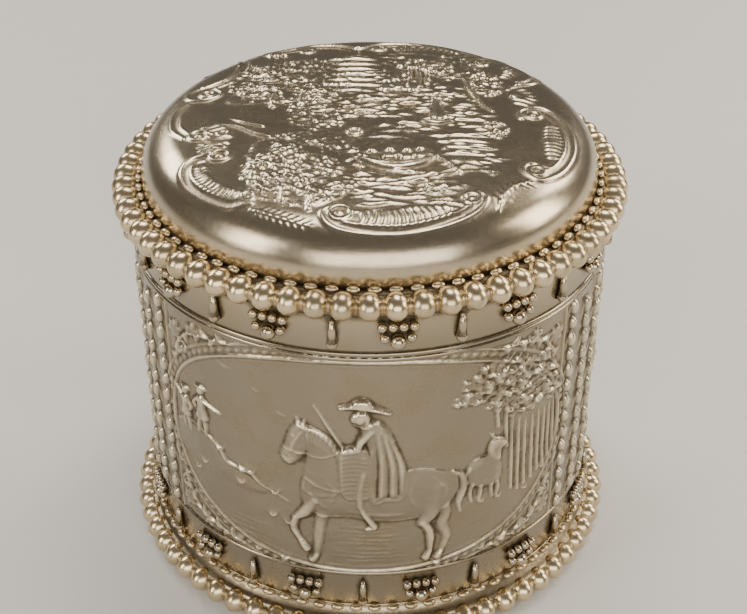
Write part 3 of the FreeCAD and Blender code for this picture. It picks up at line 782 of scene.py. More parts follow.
# %% The two other pictures: a cottage by a wood, and a mill by the water
middle = ovals[1][0]
tree(middle - 24, 27, 34, 17, 201, 2)
tree(middle + 25, 28, 31, 15, 202, 2)
tree(middle - 33, 30, 22, 10, 203)
cottage(middle + 4, 33)
walker(middle - 10, 24, 1.15, 1, 25)
walker(middle - 3.4, 23.6, 1.05, -1, 10)
cow(middle + 22, 22.5, 0.95, -1)
wall.line([(middle - 38, 31), (middle - 20, 29), (middle - 6, 32), (middle + 14, 32), (middle + 37, 30)],
          0.8, 0.35, (0.3, 0.3))
ripples(middle - 24, middle + 24, 20, 23, 1.2, 21)
middle = ovals[2][0]
mill(middle - 12, 34)
tree(middle + 22, 28, 33, 18, 204, 3)
tree(middle - 30, 30, 22, 11, 205)
walker(middle + 4, 26, 1.2, 1, 30)
cow(middle + 13, 21.5, 0.95, 1)
cow(middle - 4, 20.5, 0.9, -1)
ripples(middle - 30, middle + 30, 29.5, 34, 1.0, 22)
for k in range(14):
    tuft(middle - 28 + k * 4.2, 19.5 + (k * 7 % 5) * 0.5, 1.1, 300 + k)
print("all three pictures drawn")
wall.hammer(1.4, 0.035, 501)
wall.hammer(0.35, 0.012, 502)
wall.soften(0.12, 1.45)
# hollows for the film and painted shade, ridges for the rubbed metal and painted highlight
wall_recess, wall_rubbed_and_highlight = wall.recess(), wall.rubbed_and_highlight()

# %% [markdown]
# ## From sheet to metal
# The drawn sheet becomes a mesh: a fine grid of points on the cylinder, each moved outward by the
# height of the sheet there. It is made in three pieces that meet under the columns, so that no piece is
# too heavy, and each piece is a closed shell with a smooth inside.

# %% Build closed shells from grids of points


def solid(name, points, faces, finish, recess=None, rubbed_and_highlight=None):
    """A mesh object from points in millimetres."""
    mesh = bpy.data.meshes.new(name)
    mesh.from_pydata((np.asarray(points, float) * MM).tolist(), [], faces)
    mesh.polygons.foreach_set("use_smooth", np.ones(len(faces), bool))
    mesh.materials.append(finish)
    for label, values in (("recess", recess), ("rubbed_and_highlight", rubbed_and_highlight)):
        if values is not None:
            mesh.attributes.new(label, "FLOAT", "POINT").data.foreach_set("value", values)
    mesh.update()
    made = bpy.data.objects.new(name, mesh)
    bpy.context.scene.collection.objects.link(made)
    return made


def grid_faces(rows, columns, first=0, closed=False):
    """The quads of a grid whose points run row by row."""
    made = []
    last = columns if closed else columns - 1
    for r in range(rows - 1):
        for c in range(last):
            d = (c + 1) % columns
            a = first + r * columns
            made.append((a + c, a + d, a + columns + d, a + columns + c))
    return made


FOOT_TURN, LID_TURN = 12.2, 6.0
FOOT_ROWS, LID_ROWS = 13.6, 79.4
MESH_STEP, PLAIN_ROWS = 0.27, 13


def crowded(angle, height, turn, top):
    """The film and painted shade round bunches and drops: strong close to one, none away from all; the angle
    is in radians.
    """
    pitch = 2 * math.pi / BUNCHES
    film_and_shade = np.zeros(np.broadcast(angle, height).shape)
    for start, wide, tall, middle in ((turn, 5.2, 4.6, top - 1.6),
                                      (turn + 180 / BUNCHES, 2.0, 4.4, top - 1.2)):
        off = (angle - math.radians(start) + pitch / 2) % pitch - pitch / 2
        far = np.hypot(off * WALL / wide, (height - middle) / tall)
        film_and_shade = np.maximum(film_and_shade, np.clip(1.15 - 1.05 * far, 0, 0.8))
    return film_and_shade


def wall_piece(name, start, end):
    """One stretch of the wall, from one distance round to another."""
    across = int((end - start) / MESH_STEP) + 1
    dense = np.linspace(BORDER, WALL_TOP, int((WALL_TOP - BORDER) / MESH_STEP) + 1)
    rows = np.concatenate([np.linspace(WALL_LOW, BORDER, PLAIN_ROWS)[:-1], dense])
    tall = len(rows)
    x, y = np.meshgrid(np.linspace(start, end, across), rows)
    radius = WALL + wall.sample(wall.height, x, y) * (y > BORDER)
    angle = x / WALL
    outside = np.stack([radius * np.sin(angle), -radius * np.cos(angle), y], -1).reshape(-1, 3)
    # painted shade round the foot's bunches and drops on the plain band, partly film
    below = crowded(angle, y, FOOT_TURN, FOOT_ROWS)
    recess = np.where(y > BORDER, wall.sample(wall_recess, x, y), below).ravel()
    rubbed_and_highlight = (wall.sample(wall_rubbed_and_highlight, x, y) * (y > BORDER)).ravel()
    bore = WALL - SHEET
    edge = np.linspace(start, end, across) / WALL
    inner = np.array([(bore * math.sin(a), -bore * math.cos(a), h) for h in (WALL_LOW,
                                                                             WALL_TOP) for a in edge])
    n = len(outside)
    faces = grid_faces(tall, across)
    faces += [(n + c + 1, n + c, n + across + c, n + across + c + 1) for c in range(across - 1)]
    faces += [(c + 1, c, n + c, n + c + 1) for c in range(across - 1)]
    top = (tall - 1) * across
    faces += [(top + c, top + c + 1, n + across + c + 1, n + across + c) for c in range(across - 1)]
    faces.append([r * across for r in range(tall)] + [n + across, n])
    faces.append([r * across + across - 1 for r in range(tall - 1, -1, -1)] + [n + across - 1,
                                                                               n + 2 * across - 1])
    blank = np.zeros(2 * across)
    return solid(name, np.vstack([outside, inner]), faces, CHASED, np.append(recess, blank),
                 np.append(rubbed_and_highlight, blank))


wall_pieces = []
for word, (start, end) in zip(("front", "right", "left"), STRETCHES):
    wall_pieces.append(wall_piece("chased_wall_" + word, start, end))
    print(wall_pieces[-1].name, len(wall_pieces[-1].data.polygons), "faces")

# %% [markdown]
# ## The lid: a view of water inside a frame of scrolls
# The lid's top is worked the same way: a small landscape with trees, a boat and a sail, inside an uneven
# frame of C-shaped scrolls, shell flutes and leaves. This sheet is the lid seen from above, with the
# front of the box at the bottom.

# %% Scrolls and flutes on the lid
EDGE = 45.0
plate = Sheet(-EDGE, EDGE, -EDGE, EDGE, 0.2)


def scroll(points, width=1.7, rise=0.6, ends=(0.7, 0.7), beside=2.0):
    """A scroll of two rounded lines side by side; beside is how far in the second lies, 0 for none."""
    plate.line(points, width * 0.75, rise, ends)
    if beside:
        path = smooth(points, step=1.0)
        along = np.gradient(path, axis=0)
        inward = np.stack([-along[:, 1], along[:, 0]], -1) / np.hypot(*along.T)[:, None]
        inward *= np.where((inward * -path).sum(axis=1).mean() > 0, 1, -1)
        plate.line(path[1:-1] + inward[1:-1] * beside, 1.05, 0.45, (0.5, 0.5))
        plate.line(path[1:-1] + inward[1:-1] * beside * 0.5, 1.6, 0.22, (0.5, 0.5), "cut")


def eye(x, y, radius):
    """The rolled end of a scroll: a ring round a small berry."""
    ring = [(x + radius * math.cos(a), y + radius * math.sin(a)) for a in np.linspace(0, 2 * math.pi, 17)]
    plate.line(ring, 1.0, 0.5, how="over")
    plate.bead(x, y, radius * 0.4, 0.4)


def flutes(points, length, side, width=1.5, rise=0.42):
    """Shell flutes that stand side by side along a path, on its left (1) or right (-1)."""
    path = smooth(points, step=width * 0.85)
    along = np.gradient(path, axis=0)
    along /= np.hypot(*along.T)[:, None]
    for (x, y), (dx, dy), part in zip(path, along, np.linspace(-1, 1, len(path))):
        run = side * length * (1 - 0.35 * part * part)
        mid = (x - dy * run * 0.5 + dx * 0.4, y + dx * run * 0.5 + dy * 0.4)
        end = (x - dy * run, y + dx * run)
        plate.line([(x, y), mid, end], width * 0.8, rise * 0.8, (0.45, 1.0))


def frond(points, length, rise=0.55):
    """A feathery leaf: a middle rib with leaflets on both sides."""
    plate.line(points, 0.8, rise, (1, 0.3))
    path = smooth(points, step=1.3)
    for i in range(1, len(path) - 1):
        dx, dy = path[i + 1] - path[i - 1]
        angle, fade = math.atan2(dy, dx), 1 - 0.5 * i / len(path)
        for side in (-1, 1):
            lean = angle + side * 0.8
            tip = (path[i][0] + length * fade * math.cos(lean), path[i][1] + length * fade * math.sin(lean))
            plate.line([tuple(path[i]), tip], 1.25, rise * 0.8, (1, 0.4))


# %% The frame of scrolls
scroll([(-27, 37), (-29.4, 33), (-28.6, 28), (-29, 23), (-31.6, 18.4), (-36, 15.0)], 1.7)
scroll([(-36, 15), (-39, 12), (-37.6, 8.6), (-34.2, 8.4), (-31.4, 11), (-33, 14)], 1.4, beside=0)
eye(-34.4, 11.2, 1.4)
scroll([(-38.4, 8), (-40.4, 4), (-41, 0), (-40.2, -5), (-37.4, -9)], 1.3, 0.7)
eye(-34.4, -8.2, 1.9)
flutes([(-34, -5), (-33, -9), (-34, -13), (-33, -16)], 5.0, 1, 1.6)
eye(-29.4, -8.0, 1.1)
eye(-29.4, -16.8, 1.9)
scroll([(-31.4, -16.0), (-35, -17.4), (-36.6, -21), (-35.4, -26), (-31.4, -31), (-26.4, -34.4),
        (-22, -34.2)], 1.9)
eye(-22.8, -32.0, 1.4)
flutes([(-33.6, -21), (-33.0, -25.5), (-29.4, -30), (-25, -32)], 2.6, 1, 1.3, 0.5)
frond([(-22, -36), (-18.6, -38), (-14.6, -40), (-10.4, -41.8)], 2.6)
scroll([(-6.4, -35.6), (-8.8, -38), (-7.4, -41.4), (-3, -43.4), (4, -44), (10, -42.8), (16, -40),
        (20.4, -36.4), (22, -32.4), (20.4, -30.6)], 1.9)
eye(-5.4, -38.2, 2.0)
eye(19.2, -33.0, 1.6)
flutes([(-1.6, -41.4), (4, -42), (10, -40.6), (15, -38.2)], 4.2, 1, 1.5, 0.6)
frond([(24, -35.4), (25, -32), (27.4, -28.6), (31.4, -26)], 2.4)
scroll([(34.4, -20.4), (31.2, -19.6), (29.8, -22.4), (32.6, -25.2), (37, -21.6), (40, -16), (41.2, -10),
        (40.8, -4), (39.4, 0), (37, 3.8), (34, 4.4), (31, 2.2), (31, -1)], 1.9)
eye(32.4, -22.2, 1.5)
eye(33.6, 1.0, 1.6)
flutes([(37.4, -17), (38.6, -11), (38.2, -4)], 3.2, 1, 1.5, 0.5)
flutes([(33.6, 5), (35.2, 8.6), (34.4, 12.4), (32, 15.4)], 5.2, 1, 1.6)
scroll([(31.4, 15.4), (35, 17.4), (37.2, 22), (35, 27.2), (31, 30.4), (26, 31), (22.2, 29), (22.2, 26)], 1.8)
eye(24.4, 27.6, 1.5)
flutes([(30, 19), (32.6, 22.4), (31, 26.4)], 2.8, 1, 1.3, 0.5)
scroll([(-27, 37), (-22, 35.2), (-17, 36.6), (-12, 38.4), (-6, 37.4), (-2, 35)], 1.6)
scroll([(-3, 35), (2, 38.6), (9, 39.4), (16, 37.8), (22, 34.4), (25.4, 32)], 1.6)
eye(-14.0, 34.4, 1.5)
eye(2.0, 35.4, 1.4)
flutes([(6, 33.6), (12, 34.6), (19, 33)], 3.0, 1, 1.5, 0.55)
frond([(-24, 33), (-21, 31.4), (-17.4, 31.6)], 2.2)
frond([(30, 33.6), (33.6, 31), (36.8, 27.4)], 1.8)
frond([(-33, 31), (-35.4, 27), (-37, 22.6)], 1.9)

# %% The landscape on the lid


def thicket(x, y, wide, tall, count, seed):
    """A mass of leaves."""
    plate.leaves(x, y, wide, tall, count * 3, 0.36, 0.36, seed, 0, 60, 1.5)


def strokes(lines, width=0.8, rise=0.3):
    """Short level strokes for water and banks."""
    for x0, x1, y in lines:
        plate.line([(x0, y), ((x0 + x1) / 2, y + 0.35), (x1, y)], width, rise, (0.4, 0.4))


def scatter(x0, x1, y0, y1, count, seed):
    """Many short level strokes, as a chaser fills ground and water."""
    dice = np.random.default_rng(seed)
    across, up = dice.uniform(x0, x1, count), dice.uniform(y0, y1, count)
    for x, y, run in zip(across, up, dice.uniform(0.4, 1.2, count) * 2.4):
        bend, tip = dice.uniform(-0.5, 0.5), dice.uniform(-0.5, 0.5)
        plate.line([(x - run, y), (x, y + bend), (x + run, y + tip)], 0.6, 0.3, (0.3, 0.3))


# the bank at the back, open ground, and leaves
plate.patch([(-30, 6), (-26, 15), (-22, 24), (-14, 29), (-8, 26), (-7, 16), (-10, 8), (-18, 5)], 0.3, 5)
OPEN_GROUND = ((-12, 4, -1, 12, 60), (3, 14, -8, 12, 46), (13, 25, -24, 0, 40), (-3, 16, -28, -24, 20),
               (-4, 18, -38, -28, 46), (10, 22, 0, 22, 50), (-10, 8, 9, 31, 30), (2, 20, 26, 33, 30))
for i, area in enumerate(OPEN_GROUND):
    scatter(*area, 460 + i)
FAR_LEAVES = ((-17, 16, 13, 13, 660), (-13, -22, 12, 14, 720), (-10, 0, 7, 8, 260), (18, 24, 6, 7, 120),
              (8, 18, 7, 9, 180))
for i, area in enumerate(FAR_LEAVES):
    plate.leaves(*area, 0.34, 0.3, 480 + i, 0, 70, 1.5)
BACK_WOOD = ((-23, 11, 5, 4), (-18, 18, 6, 4), (-14, 24, 6, 4), (-13, 13, 5, 4), (-24, 22, 3.6, 4),
             (-10, 8, 3.5, 2.5))
for i, (x, y, wide, tall) in enumerate(BACK_WOOD):
    thicket(x, y, wide, tall, int(wide * tall * 5), 400 + i)
# the bank in front with its wood, and trunks
plate.patch([(-23, -13), (-17, -12), (-9, -16), (-3, -20), (-4, -30), (-9, -36), (-17, -34), (-23, -26)],
            0.35, 4)
FRONT_WOOD = ((-17, -18, 5, 4), (-11, -23, 6, 5), (-17, -28, 5, 4), (-9, -31, 4.5, 3.5), (-21, -22, 3, 4))
for i, (x, y, wide, tall) in enumerate(FRONT_WOOD):
    thicket(x, y, wide, tall, int(wide * tall * 4.6), 420 + i)
for x, y in ((-20, 5.4), (-14, 5.6), (-16, -32), (-11, -35)):
    plate.line([(x, y + 3), (x - 0.4, y), (x - 0.2, y - 2)], 0.9, 0.6, (1, 1.4))
# water at the back, three tall trees and three people below them
strokes([(-10 + 0.4 * k % 2, 1.5 + 0.5 * (k % 3), 10 + 3 * k) for k in range(7)], 1.3, 0.5)
for x, low, high in ((8.4, 12, 26), (10.2, 12, 28), (12.2, 14, 26)):
    plate.line([(x, low), (x + 0.3, (low + high) / 2), (x, high)], 0.9, 0.6, (1.2, 0.6))
thicket(10.4, 25.4, 5.4, 3.6, 90, 440)
thicket(14.6, 21.6, 3.4, 2.4, 40, 441)
for x, y, lean in ((3.2, 13.4, 0.4), (6.0, 14.2, -0.4), (9.2, 13.2, 0.3)):
    plate.line([(x, y - 2.6), (x + lean * 0.5, y)], 1.9, 0.8, (1.2, 0.8), "over")
    plate.bead(x + lean, y + 1.5, 0.8, 0.85, "over")
    plate.line([(x, y - 0.4), (x + 1.8 * (1 if lean > 0 else -1), y - 0.9)], 0.8, 0.7, how="over")
# a sail with its mast and hull, and a leaning tree
plate.patch([(12.2, -3), (13.4, 6.4), (15.8, -2.6)], 0.75, 1.1)
plate.line([(13.2, -4), (13.4, 7.4)], 0.5, 0.6)
plate.line([(10.6, -4), (13.4, -4.8), (16.6, -3.8)], 1.4, 0.6, (0.5, 0.5))
plate.line([(17.6, 22.4), (20.6, 17), (21.4, 11), (23.2, 5), (25.4, 1.6)], 1.2, 0.6, (0.5, 0.5))
thicket(25, 15.6, 3.4, 6.4, 100, 443)
thicket(25.6, -6.4, 2.6, 3.6, 44, 444)
# water in the middle, a ring on it, and a path on the left
strokes([(18, 24, 0), (17.6, 24, -3), (18, 24.4, -6), (15, 24, -10), (15, 24, -12.2), (13.6, 24, -14.8),
         (14, 23, -17.4), (14, 24, -20.2), (15, 22, -22.2)], 0.8, 0.3)
strokes([(0, 9, 5.6), (-4, 6, 3.0), (-7, 4, 0.4), (-8, 8, -2.2), (-12, -6, -6), (2, 10, -8.6),
         (-2, 8, -11.2)], 0.7, 0.25)
plate.line([(-3 + 1.3 * math.cos(a), -9 + 1.3 * math.sin(a)) for a in np.linspace(0, 2 * math.pi, 13)], 0.7,
           0.5)
plate.line([(-30, -3.6), (-26.4, -5.6), (-22.4, -9), (-20, -10.4)], 0.9, 0.55, (0.4, 1))
plate.line([(-28.6, -1), (-25.6, -3.4), (-21.6, -5.6)], 0.7, 0.4, (0.4, 1))

# %% The boat with its people
plate.patch([(-2.6, -19.6), (0, -22.2), (5, -23.8), (10.6, -22), (13.2, -18.8), (9.6, -20.2), (4, -20.8)],
            0.8, 1.1)
plate.line([(-2.6, -19.6), (1, -21.3), (5.2, -21.9), (10, -20.6), (13.2, -18.6)], 0.6, 0.4)
for x, y, lean in ((0.6, -18.2, -1), (3.8, -17.6, 1), (7.2, -17.8, 1), (10.2, -17.2, -1)):
    plate.patch([(x - 1.2, y - 2.6), (x - 1.0, y - 0.2), (x + 0.9, y), (x + 1.4, y - 2.4)], 0.85, 1.0)
    plate.bead(x + lean * 0.2, y + 1.0, 0.85, 0.95, "over")
    plate.line([(x, y - 0.6), (x + lean * 2.0, y - 1.2)], 0.8, 0.8, how="over")
plate.line([(10.4, -16.6), (14.4, -20), (17.6, -24.6)], 0.5, 0.5)
for off in (0, -1.3):
    plate.line([(-5, -26.6 + off), (4, -27.4 + off), (12, -25.2 + off), (18, -22.4 + off),
                (23, -21.6 + off)], 0.7, 0.4, (0.4, 0.4))
strokes([(0, 7, -30), (9, 17, -29), (-1, 5, -32.6), (7, 14, -32), (0, 8, -35.4), (10, 16, -35)], 0.7, 0.28)
thicket(12.4, -30.4, 2.6, 1.6, 24, 445)
gx, gy = np.meshgrid(np.linspace(-EDGE, EDGE, plate.across), np.linspace(-EDGE, EDGE, plate.up))
picture = np.clip(1.6 - np.hypot((gx + 1) / 27, (gy + 2) / 34) * 1.5, 0, 1)
plate.hammer(0.4, 0.045, 503, picture)
plate.hammer(1.5, 0.03, 504)
plate.soften(0.11, 1.0)
plate_recess, plate_rubbed_and_highlight = plate.recess(), plate.rubbed_and_highlight()
print("lid relief up to", round(float(plate.height.max()), 2), "mm")

# %% [markdown]
# ## The dome
# The lid's top is nearly flat with a rounded shoulder. A grid made of squares inside squares, pulled out
# to a disc, has points of even size everywhere, so the middle needs no pole where a turned shape would
# pinch. Each point is then lifted by the relief, along the slope of the dome.

# %% The dome's outline and its mesh
SHOULDER, CROWN = 9.0, 400.0
TURN_IN = DOME - SHOULDER


def dome_profile(inset=0.0, fine=1600):
    """Radius and height along the dome from its middle to its lower edge, inset by the sheet's thickness."""
    lean = math.asin(TURN_IN / (CROWN - SHOULDER))
    arcs = []
    for centre, radius, start, end in (((0, DOME_TOP - CROWN), CROWN - inset, 0, lean),
                                       ((TURN_IN, DOME_TOP - CROWN + (CROWN - SHOULDER) * math.cos(lean)),
                                        SHOULDER - inset, lean, math.pi / 2)):
        arcs.append([(centre[0] + radius * math.sin(a), centre[1] + radius * math.cos(a))
                     for a in np.linspace(start, end, fine // 2)])
    return np.array(arcs[0] + arcs[1][1:] + [(DOME - inset, DOME_LOW)])


def points_along(profile, places):
    """Points at the given distances along a profile, with their slope."""
    run = np.concatenate([[0], np.cumsum(np.hypot(*np.diff(profile, axis=0).T))])
    places = np.clip(places, 0, run[-1])
    spots, ahead, behind = (np.stack([np.interp(np.clip(places + shift, 0, run[-1]), run, profile[:, i])
                                      for i in (0, 1)], -1) for shift in (0, 0.2, -0.2))
    slope = ahead - behind
    slope /= np.hypot(slope[..., 0], slope[..., 1])[..., None]
    return spots, slope


# %% Squares inside squares, pulled out to a disc and lifted
CHASED_RINGS, PLAIN_RINGS, RING = 138, 12, 0.325
RELIEF_END, RELIEF_FADE = 44.2, 1.2
SHOULDER_FROM, SHOULDER_FADE = 36, 5
outline = dome_profile()
length = float(np.hypot(*np.diff(outline, axis=0).T).sum())
plain = np.linspace(CHASED_RINGS * RING, length, PLAIN_RINGS + 1)[1:]
rings = np.concatenate([np.arange(CHASED_RINGS + 1) * RING, plain])
half = CHASED_RINGS + PLAIN_RINGS
a, b = np.meshgrid(np.arange(-half, half + 1), np.arange(-half, half + 1))
square = np.maximum(np.abs(a), np.abs(b))
wide_side = np.abs(a) >= np.abs(b)
with np.errstate(divide="ignore", invalid="ignore"):
    turn = np.where(wide_side, np.pi / 4 * b / np.where(a == 0, 1, a),
                    np.pi / 2 - np.pi / 4 * a / np.where(b == 0, 1, b))
turn = np.where(wide_side & (a < 0), turn + np.pi, turn)
turn = np.where(~wide_side & (b < 0), turn + np.pi, turn)
spots, slope = points_along(outline, rings[square])
out, up = spots[..., 0], spots[..., 1]
x, y = out * np.cos(turn), out * np.sin(turn)
fade = np.clip((RELIEF_END - out) / RELIEF_FADE, 0, 1)
fade *= 1 - 0.5 * np.clip((out - SHOULDER_FROM) / SHOULDER_FADE, 0, 1)
lift = plate.sample(plate.height, x, y) * fade
outward = out - slope[..., 1] * lift
points = np.stack([outward * np.cos(turn), outward * np.sin(turn), up + slope[..., 0] * lift],
                  -1).reshape(-1, 3)
# painted shade in the relief's hollows and along the dome's lower edge at the flange, partly film
recess = (plate.sample(plate_recess, x, y) * fade + np.clip((DOME_LOW + 1.2 - up) / 1.2, 0, 0.5)).ravel()
rubbed_and_highlight = (plate.sample(plate_rubbed_and_highlight, x, y) * fade).ravel()
print("dome's top side:", len(points), "points")

# %% Close the dome with a smooth inside
RIM_SKIP = 8
side = 2 * half + 1
faces = grid_faces(side, side)
rim = list(range(side - 1)) + [r * side + side - 1 for r in range(side - 1)]
rim += [(side - 1) * side + c for c in range(side - 1, 0, -1)] + [r * side for r in range(side - 1, 0, -1)]
inner_profile = dome_profile(SHEET)
inner_length = np.hypot(*np.diff(inner_profile, axis=0).T).sum()
inner_spots = points_along(inner_profile, np.linspace(0, 1, 16)[1:] * inner_length)[0][::-1]
first = len(points)
start_turn = math.atan2(points[rim[0]][1], points[rim[0]][0])
steps = len(rim) // RIM_SKIP
inner_turns = [start_turn + 2 * math.pi * k / steps for k in range(steps)]
inner = [(r * math.cos(a), r * math.sin(a), z) for r, z in inner_spots for a in inner_turns]
for k in range(steps):
    nxt = (k + 1) % steps
    outer = [rim[(RIM_SKIP * k + j) % len(rim)] for j in range(RIM_SKIP + 1)]
    faces.append(outer[::-1] + [first + k, first + nxt])
for r, s, t, u in grid_faces(len(inner_spots), steps, first, closed=True):
    faces.append((u, t, s, r))
faces.append([first + (len(inner_spots) - 1) * steps + k for k in range(steps)][::-1])
blank = np.zeros(len(inner))
dome = solid("chased_lid_dome", np.vstack([points, inner]), faces, DOME_SILVER,
             np.append(recess, blank), np.append(rubbed_and_highlight, blank))
print("dome:", len(dome.data.polygons), "faces")

# %% [markdown]
# ## Turned pieces
# The foot, the lid's flange and its skirt are turned or rolled rings. Each is a closed outline swept
# round the axis, with the outline's points close together where it bends, so that highlights run
# smoothly round it.

# %% Sweep an outline round the axis
TURNED = 260


def arc(centre, radius, start, end, count=10):
    """Points on an arc in the radius and height plane; angles in degrees."""
    return [(centre[0] + radius * math.cos(math.radians(a)), centre[1] + radius * math.sin(math.radians(a)))
            for a in np.linspace(start, end, count)]


def turned(name, outline, finish, film_and_shade):
    """A ring from an outline that goes anticlockwise; film_and_shade(angle, radius, height) is its recess
    attribute, for brown film and painted shade.
    """
    outline = np.array(outline)
    angle = np.linspace(0, 2 * math.pi, TURNED, endpoint=False)
    r, z = outline[:, 0][:, None], outline[:, 1][:, None]
    points = np.stack([r * np.sin(angle), r * -np.cos(angle), z + 0 * angle], -1).reshape(-1, 3)
    faces = []
    count = len(outline)
    for i in range(count):
        j = (i + 1) % count
        for k in range(TURNED):
            n = (k + 1) % TURNED
            faces.append((i * TURNED + k, i * TURNED + n, j * TURNED + n, j * TURNED + k))
    recess = (film_and_shade(angle[None, :], r, z) + 0 * angle[None, :] * r).ravel()
    return solid(name, points, faces, finish, np.clip(recess, 0, 1))


def near(value, target, width):
    """1 at the target, falling to 0 a width away."""
    return np.clip(1 - np.abs(value - target) / width, 0, 1)


# %% The foot, the flange and the skirt
FOOT_EDGE = reach("foot_ring")
FOOT_TOP = span("foot_ring")[1]
FOOT_IN = 47.6
COVE = 4.0
ROLL, LIP_MIDDLE, LIP_TOP = 1.2, 2.6, 5.3
LIP = FOOT_EDGE - ROLL
# The cove is an arc through the lip's top inner corner and the foot's top at the wall.
cove_mid = ((LIP + WALL) / 2, (LIP_TOP + FOOT_TOP) / 2)
chord = math.hypot(LIP - WALL, FOOT_TOP - LIP_TOP)
away = math.sqrt(COVE**2 - chord**2 / 4) / chord
cove_centre = (cove_mid[0] + (FOOT_TOP - LIP_TOP) * away, cove_mid[1] + (LIP - WALL) * away)
cove_start = math.degrees(math.atan2(LIP_TOP - cove_centre[1], LIP - cove_centre[0]))
cove_end = math.degrees(math.atan2(FOOT_TOP - cove_centre[1], WALL - cove_centre[0]))
foot_outline = [(FOOT_IN, 0), (LIP, 0)] + arc((LIP, ROLL), ROLL, -80, 0, 6)
foot_outline += [(FOOT_EDGE, LIP_MIDDLE)] + arc((LIP, LIP_TOP - ROLL), ROLL, 0, 90, 6)[:-1]
foot_outline += arc(cove_centre, COVE, cove_start % 360, cove_end % 360, 9)
foot_outline += [(WALL, WALL_LOW), (FOOT_IN, WALL_LOW)]


def foot_film_and_shade(angle, radius, height):
    """Film and painted shade in the cove, and painted shade under the edge where the foot stands on the
    floor.
    """
    return near(height, 5.6, 1.6) * 0.8 * (radius > WALL) + near(height, 0.0, 0.7) * 0.5


foot = turned("turned_foot", foot_outline, POLISHED, foot_film_and_shade)

FLANGE_LOW, FLANGE_TOP = span("lid_flange")
FLANGE_EDGE = reach("lid_flange")
FLANGE_IN, FLANGE_SLOPE = 46.7, 2.2
EDGE_TOP = FLANGE_LOW + 0.8
SKIRT_IN = WALL - 0.6
flange_outline = [(FLANGE_IN, FLANGE_LOW), (SKIRT_IN, FLANGE_LOW), (FLANGE_EDGE, FLANGE_LOW),
                  (FLANGE_EDGE, EDGE_TOP)]
flange_outline += [(FLANGE_EDGE - FLANGE_SLOPE * t, EDGE_TOP + (FLANGE_TOP - EDGE_TOP) * t)
                   for t in np.linspace(0.15, 1, 8)]
flange_outline += [(DOME, FLANGE_TOP), (FLANGE_IN, FLANGE_TOP)]
# painted shade on the flange's top round the dome and under the flange, partly film
flange = turned("turned_flange", flange_outline, POLISHED,
                lambda a, r, z: near(z, FLANGE_TOP, 0.6) + near(z, FLANGE_LOW, 1.0))

skirt_heights = np.linspace(SKIRT_LOW, SKIRT_TOP, 24)
skirt_outline = [(SKIRT_IN, SKIRT_LOW)] + [(WALL, h) for h in skirt_heights] + [(SKIRT_IN, SKIRT_TOP)]


def skirt_film_and_shade(angle, radius, height):
    """Film and painted shade round the bunches and drops, along the wire and under the pearls."""
    edges = near(height, SKIRT_LOW + WIRE, 0.6) + near(height, SKIRT_TOP, 2.6) * 1.1
    return crowded(angle, height, LID_TURN, LID_ROWS) + edges


skirt = turned("rolled_skirt", skirt_outline, POLISHED, skirt_film_and_shade)
for made in (foot, flange, skirt):
    print(made.name, len(made.data.polygons), "faces")

# %% [markdown]
# ## Pearls, beads, grapes and drops
# Everything that repeats round the box comes from one Geometry Nodes tree per ornament. A mesh circle
# gives one point per repeat, each point is turned to face outward, and a small ornament is put on it.
# Instances alone would be lost in an exported file, so the tree ends by making them real.

# %% A tree that sets an ornament round a ring


def new_tree(name, inputs):
    """An empty tree with named inputs and a geometry output."""
    tree = bpy.data.node_groups.new(name, "GeometryNodeTree")
    for label, kind in inputs.items():
        tree.interface.new_socket(label, in_out="INPUT", socket_type="NodeSocket" + kind)
    tree.interface.new_socket("Geometry", in_out="OUTPUT", socket_type="NodeSocketGeometry")
    return tree, tree.nodes.new("NodeGroupInput")


def finished(tree, sizes, geometry):
    """Make instances real, round the shading off, give the metal and lead it all out of the tree."""
    real = add(tree, "GeometryNodeRealizeInstances", {"Geometry": geometry})
    round_off = add(tree, "GeometryNodeSetShadeSmooth", {"Geometry": real})
    coated = add(tree, "GeometryNodeSetMaterial", {"Geometry": round_off, "Material": sizes.outputs["Metal"]})
    tree.links.new(coated, tree.nodes.new("NodeGroupOutput").inputs[0])
    return tree


def ring_tree(name, ornament):
    """A tree that repeats an ornament round a ring; ornament(tree, sizes) adds its nodes."""
    tree, sizes = new_tree(name, {"Count": "Int", "Ring Radius": "Float", "Height": "Float", "Turn": "Float",
                                  "Size": "Float", "Metal": "Material"})
    ring = add(tree, "GeometryNodeMeshCircle", {"Vertices": sizes.outputs["Count"],
                                                "Radius": sizes.outputs["Ring Radius"]})
    lift = add(tree, "ShaderNodeCombineXYZ", {"Z": sizes.outputs["Height"]})
    spin = add(tree, "ShaderNodeCombineXYZ", {"Z": sizes.outputs["Turn"]})
    placed = add(tree, "GeometryNodeTransform", {"Geometry": ring, "Translation": lift, "Rotation": spin})
    spot = add(tree, "GeometryNodeInputPosition", {})
    flat = add(tree, "ShaderNodeVectorMath", {0: spot, 1: (1.0, 1.0, 0.0)}, {"operation": "MULTIPLY"})
    facing = add(tree, "FunctionNodeAlignRotationToVector", {"Vector": flat},
                 {"axis": "X", "pivot_axis": "Z"})
    one = ornament(tree, sizes)
    many = add(tree, "GeometryNodeInstanceOnPoints", {"Points": placed, "Instance": one, "Rotation": facing})
    return finished(tree, sizes, many)


def add(tree, kind, inputs, settings=None):
    """Add a node, feed it, and give back its first output."""
    made = tree.nodes.new(kind)
    for key, setting in (settings or {}).items():
        setattr(made, key, setting)
    for key, given in inputs.items():
        if isinstance(given, bpy.types.NodeSocket):
            tree.links.new(given, made.inputs[key])
        else:
            made.inputs[key].default_value = given
    return made.outputs[0]


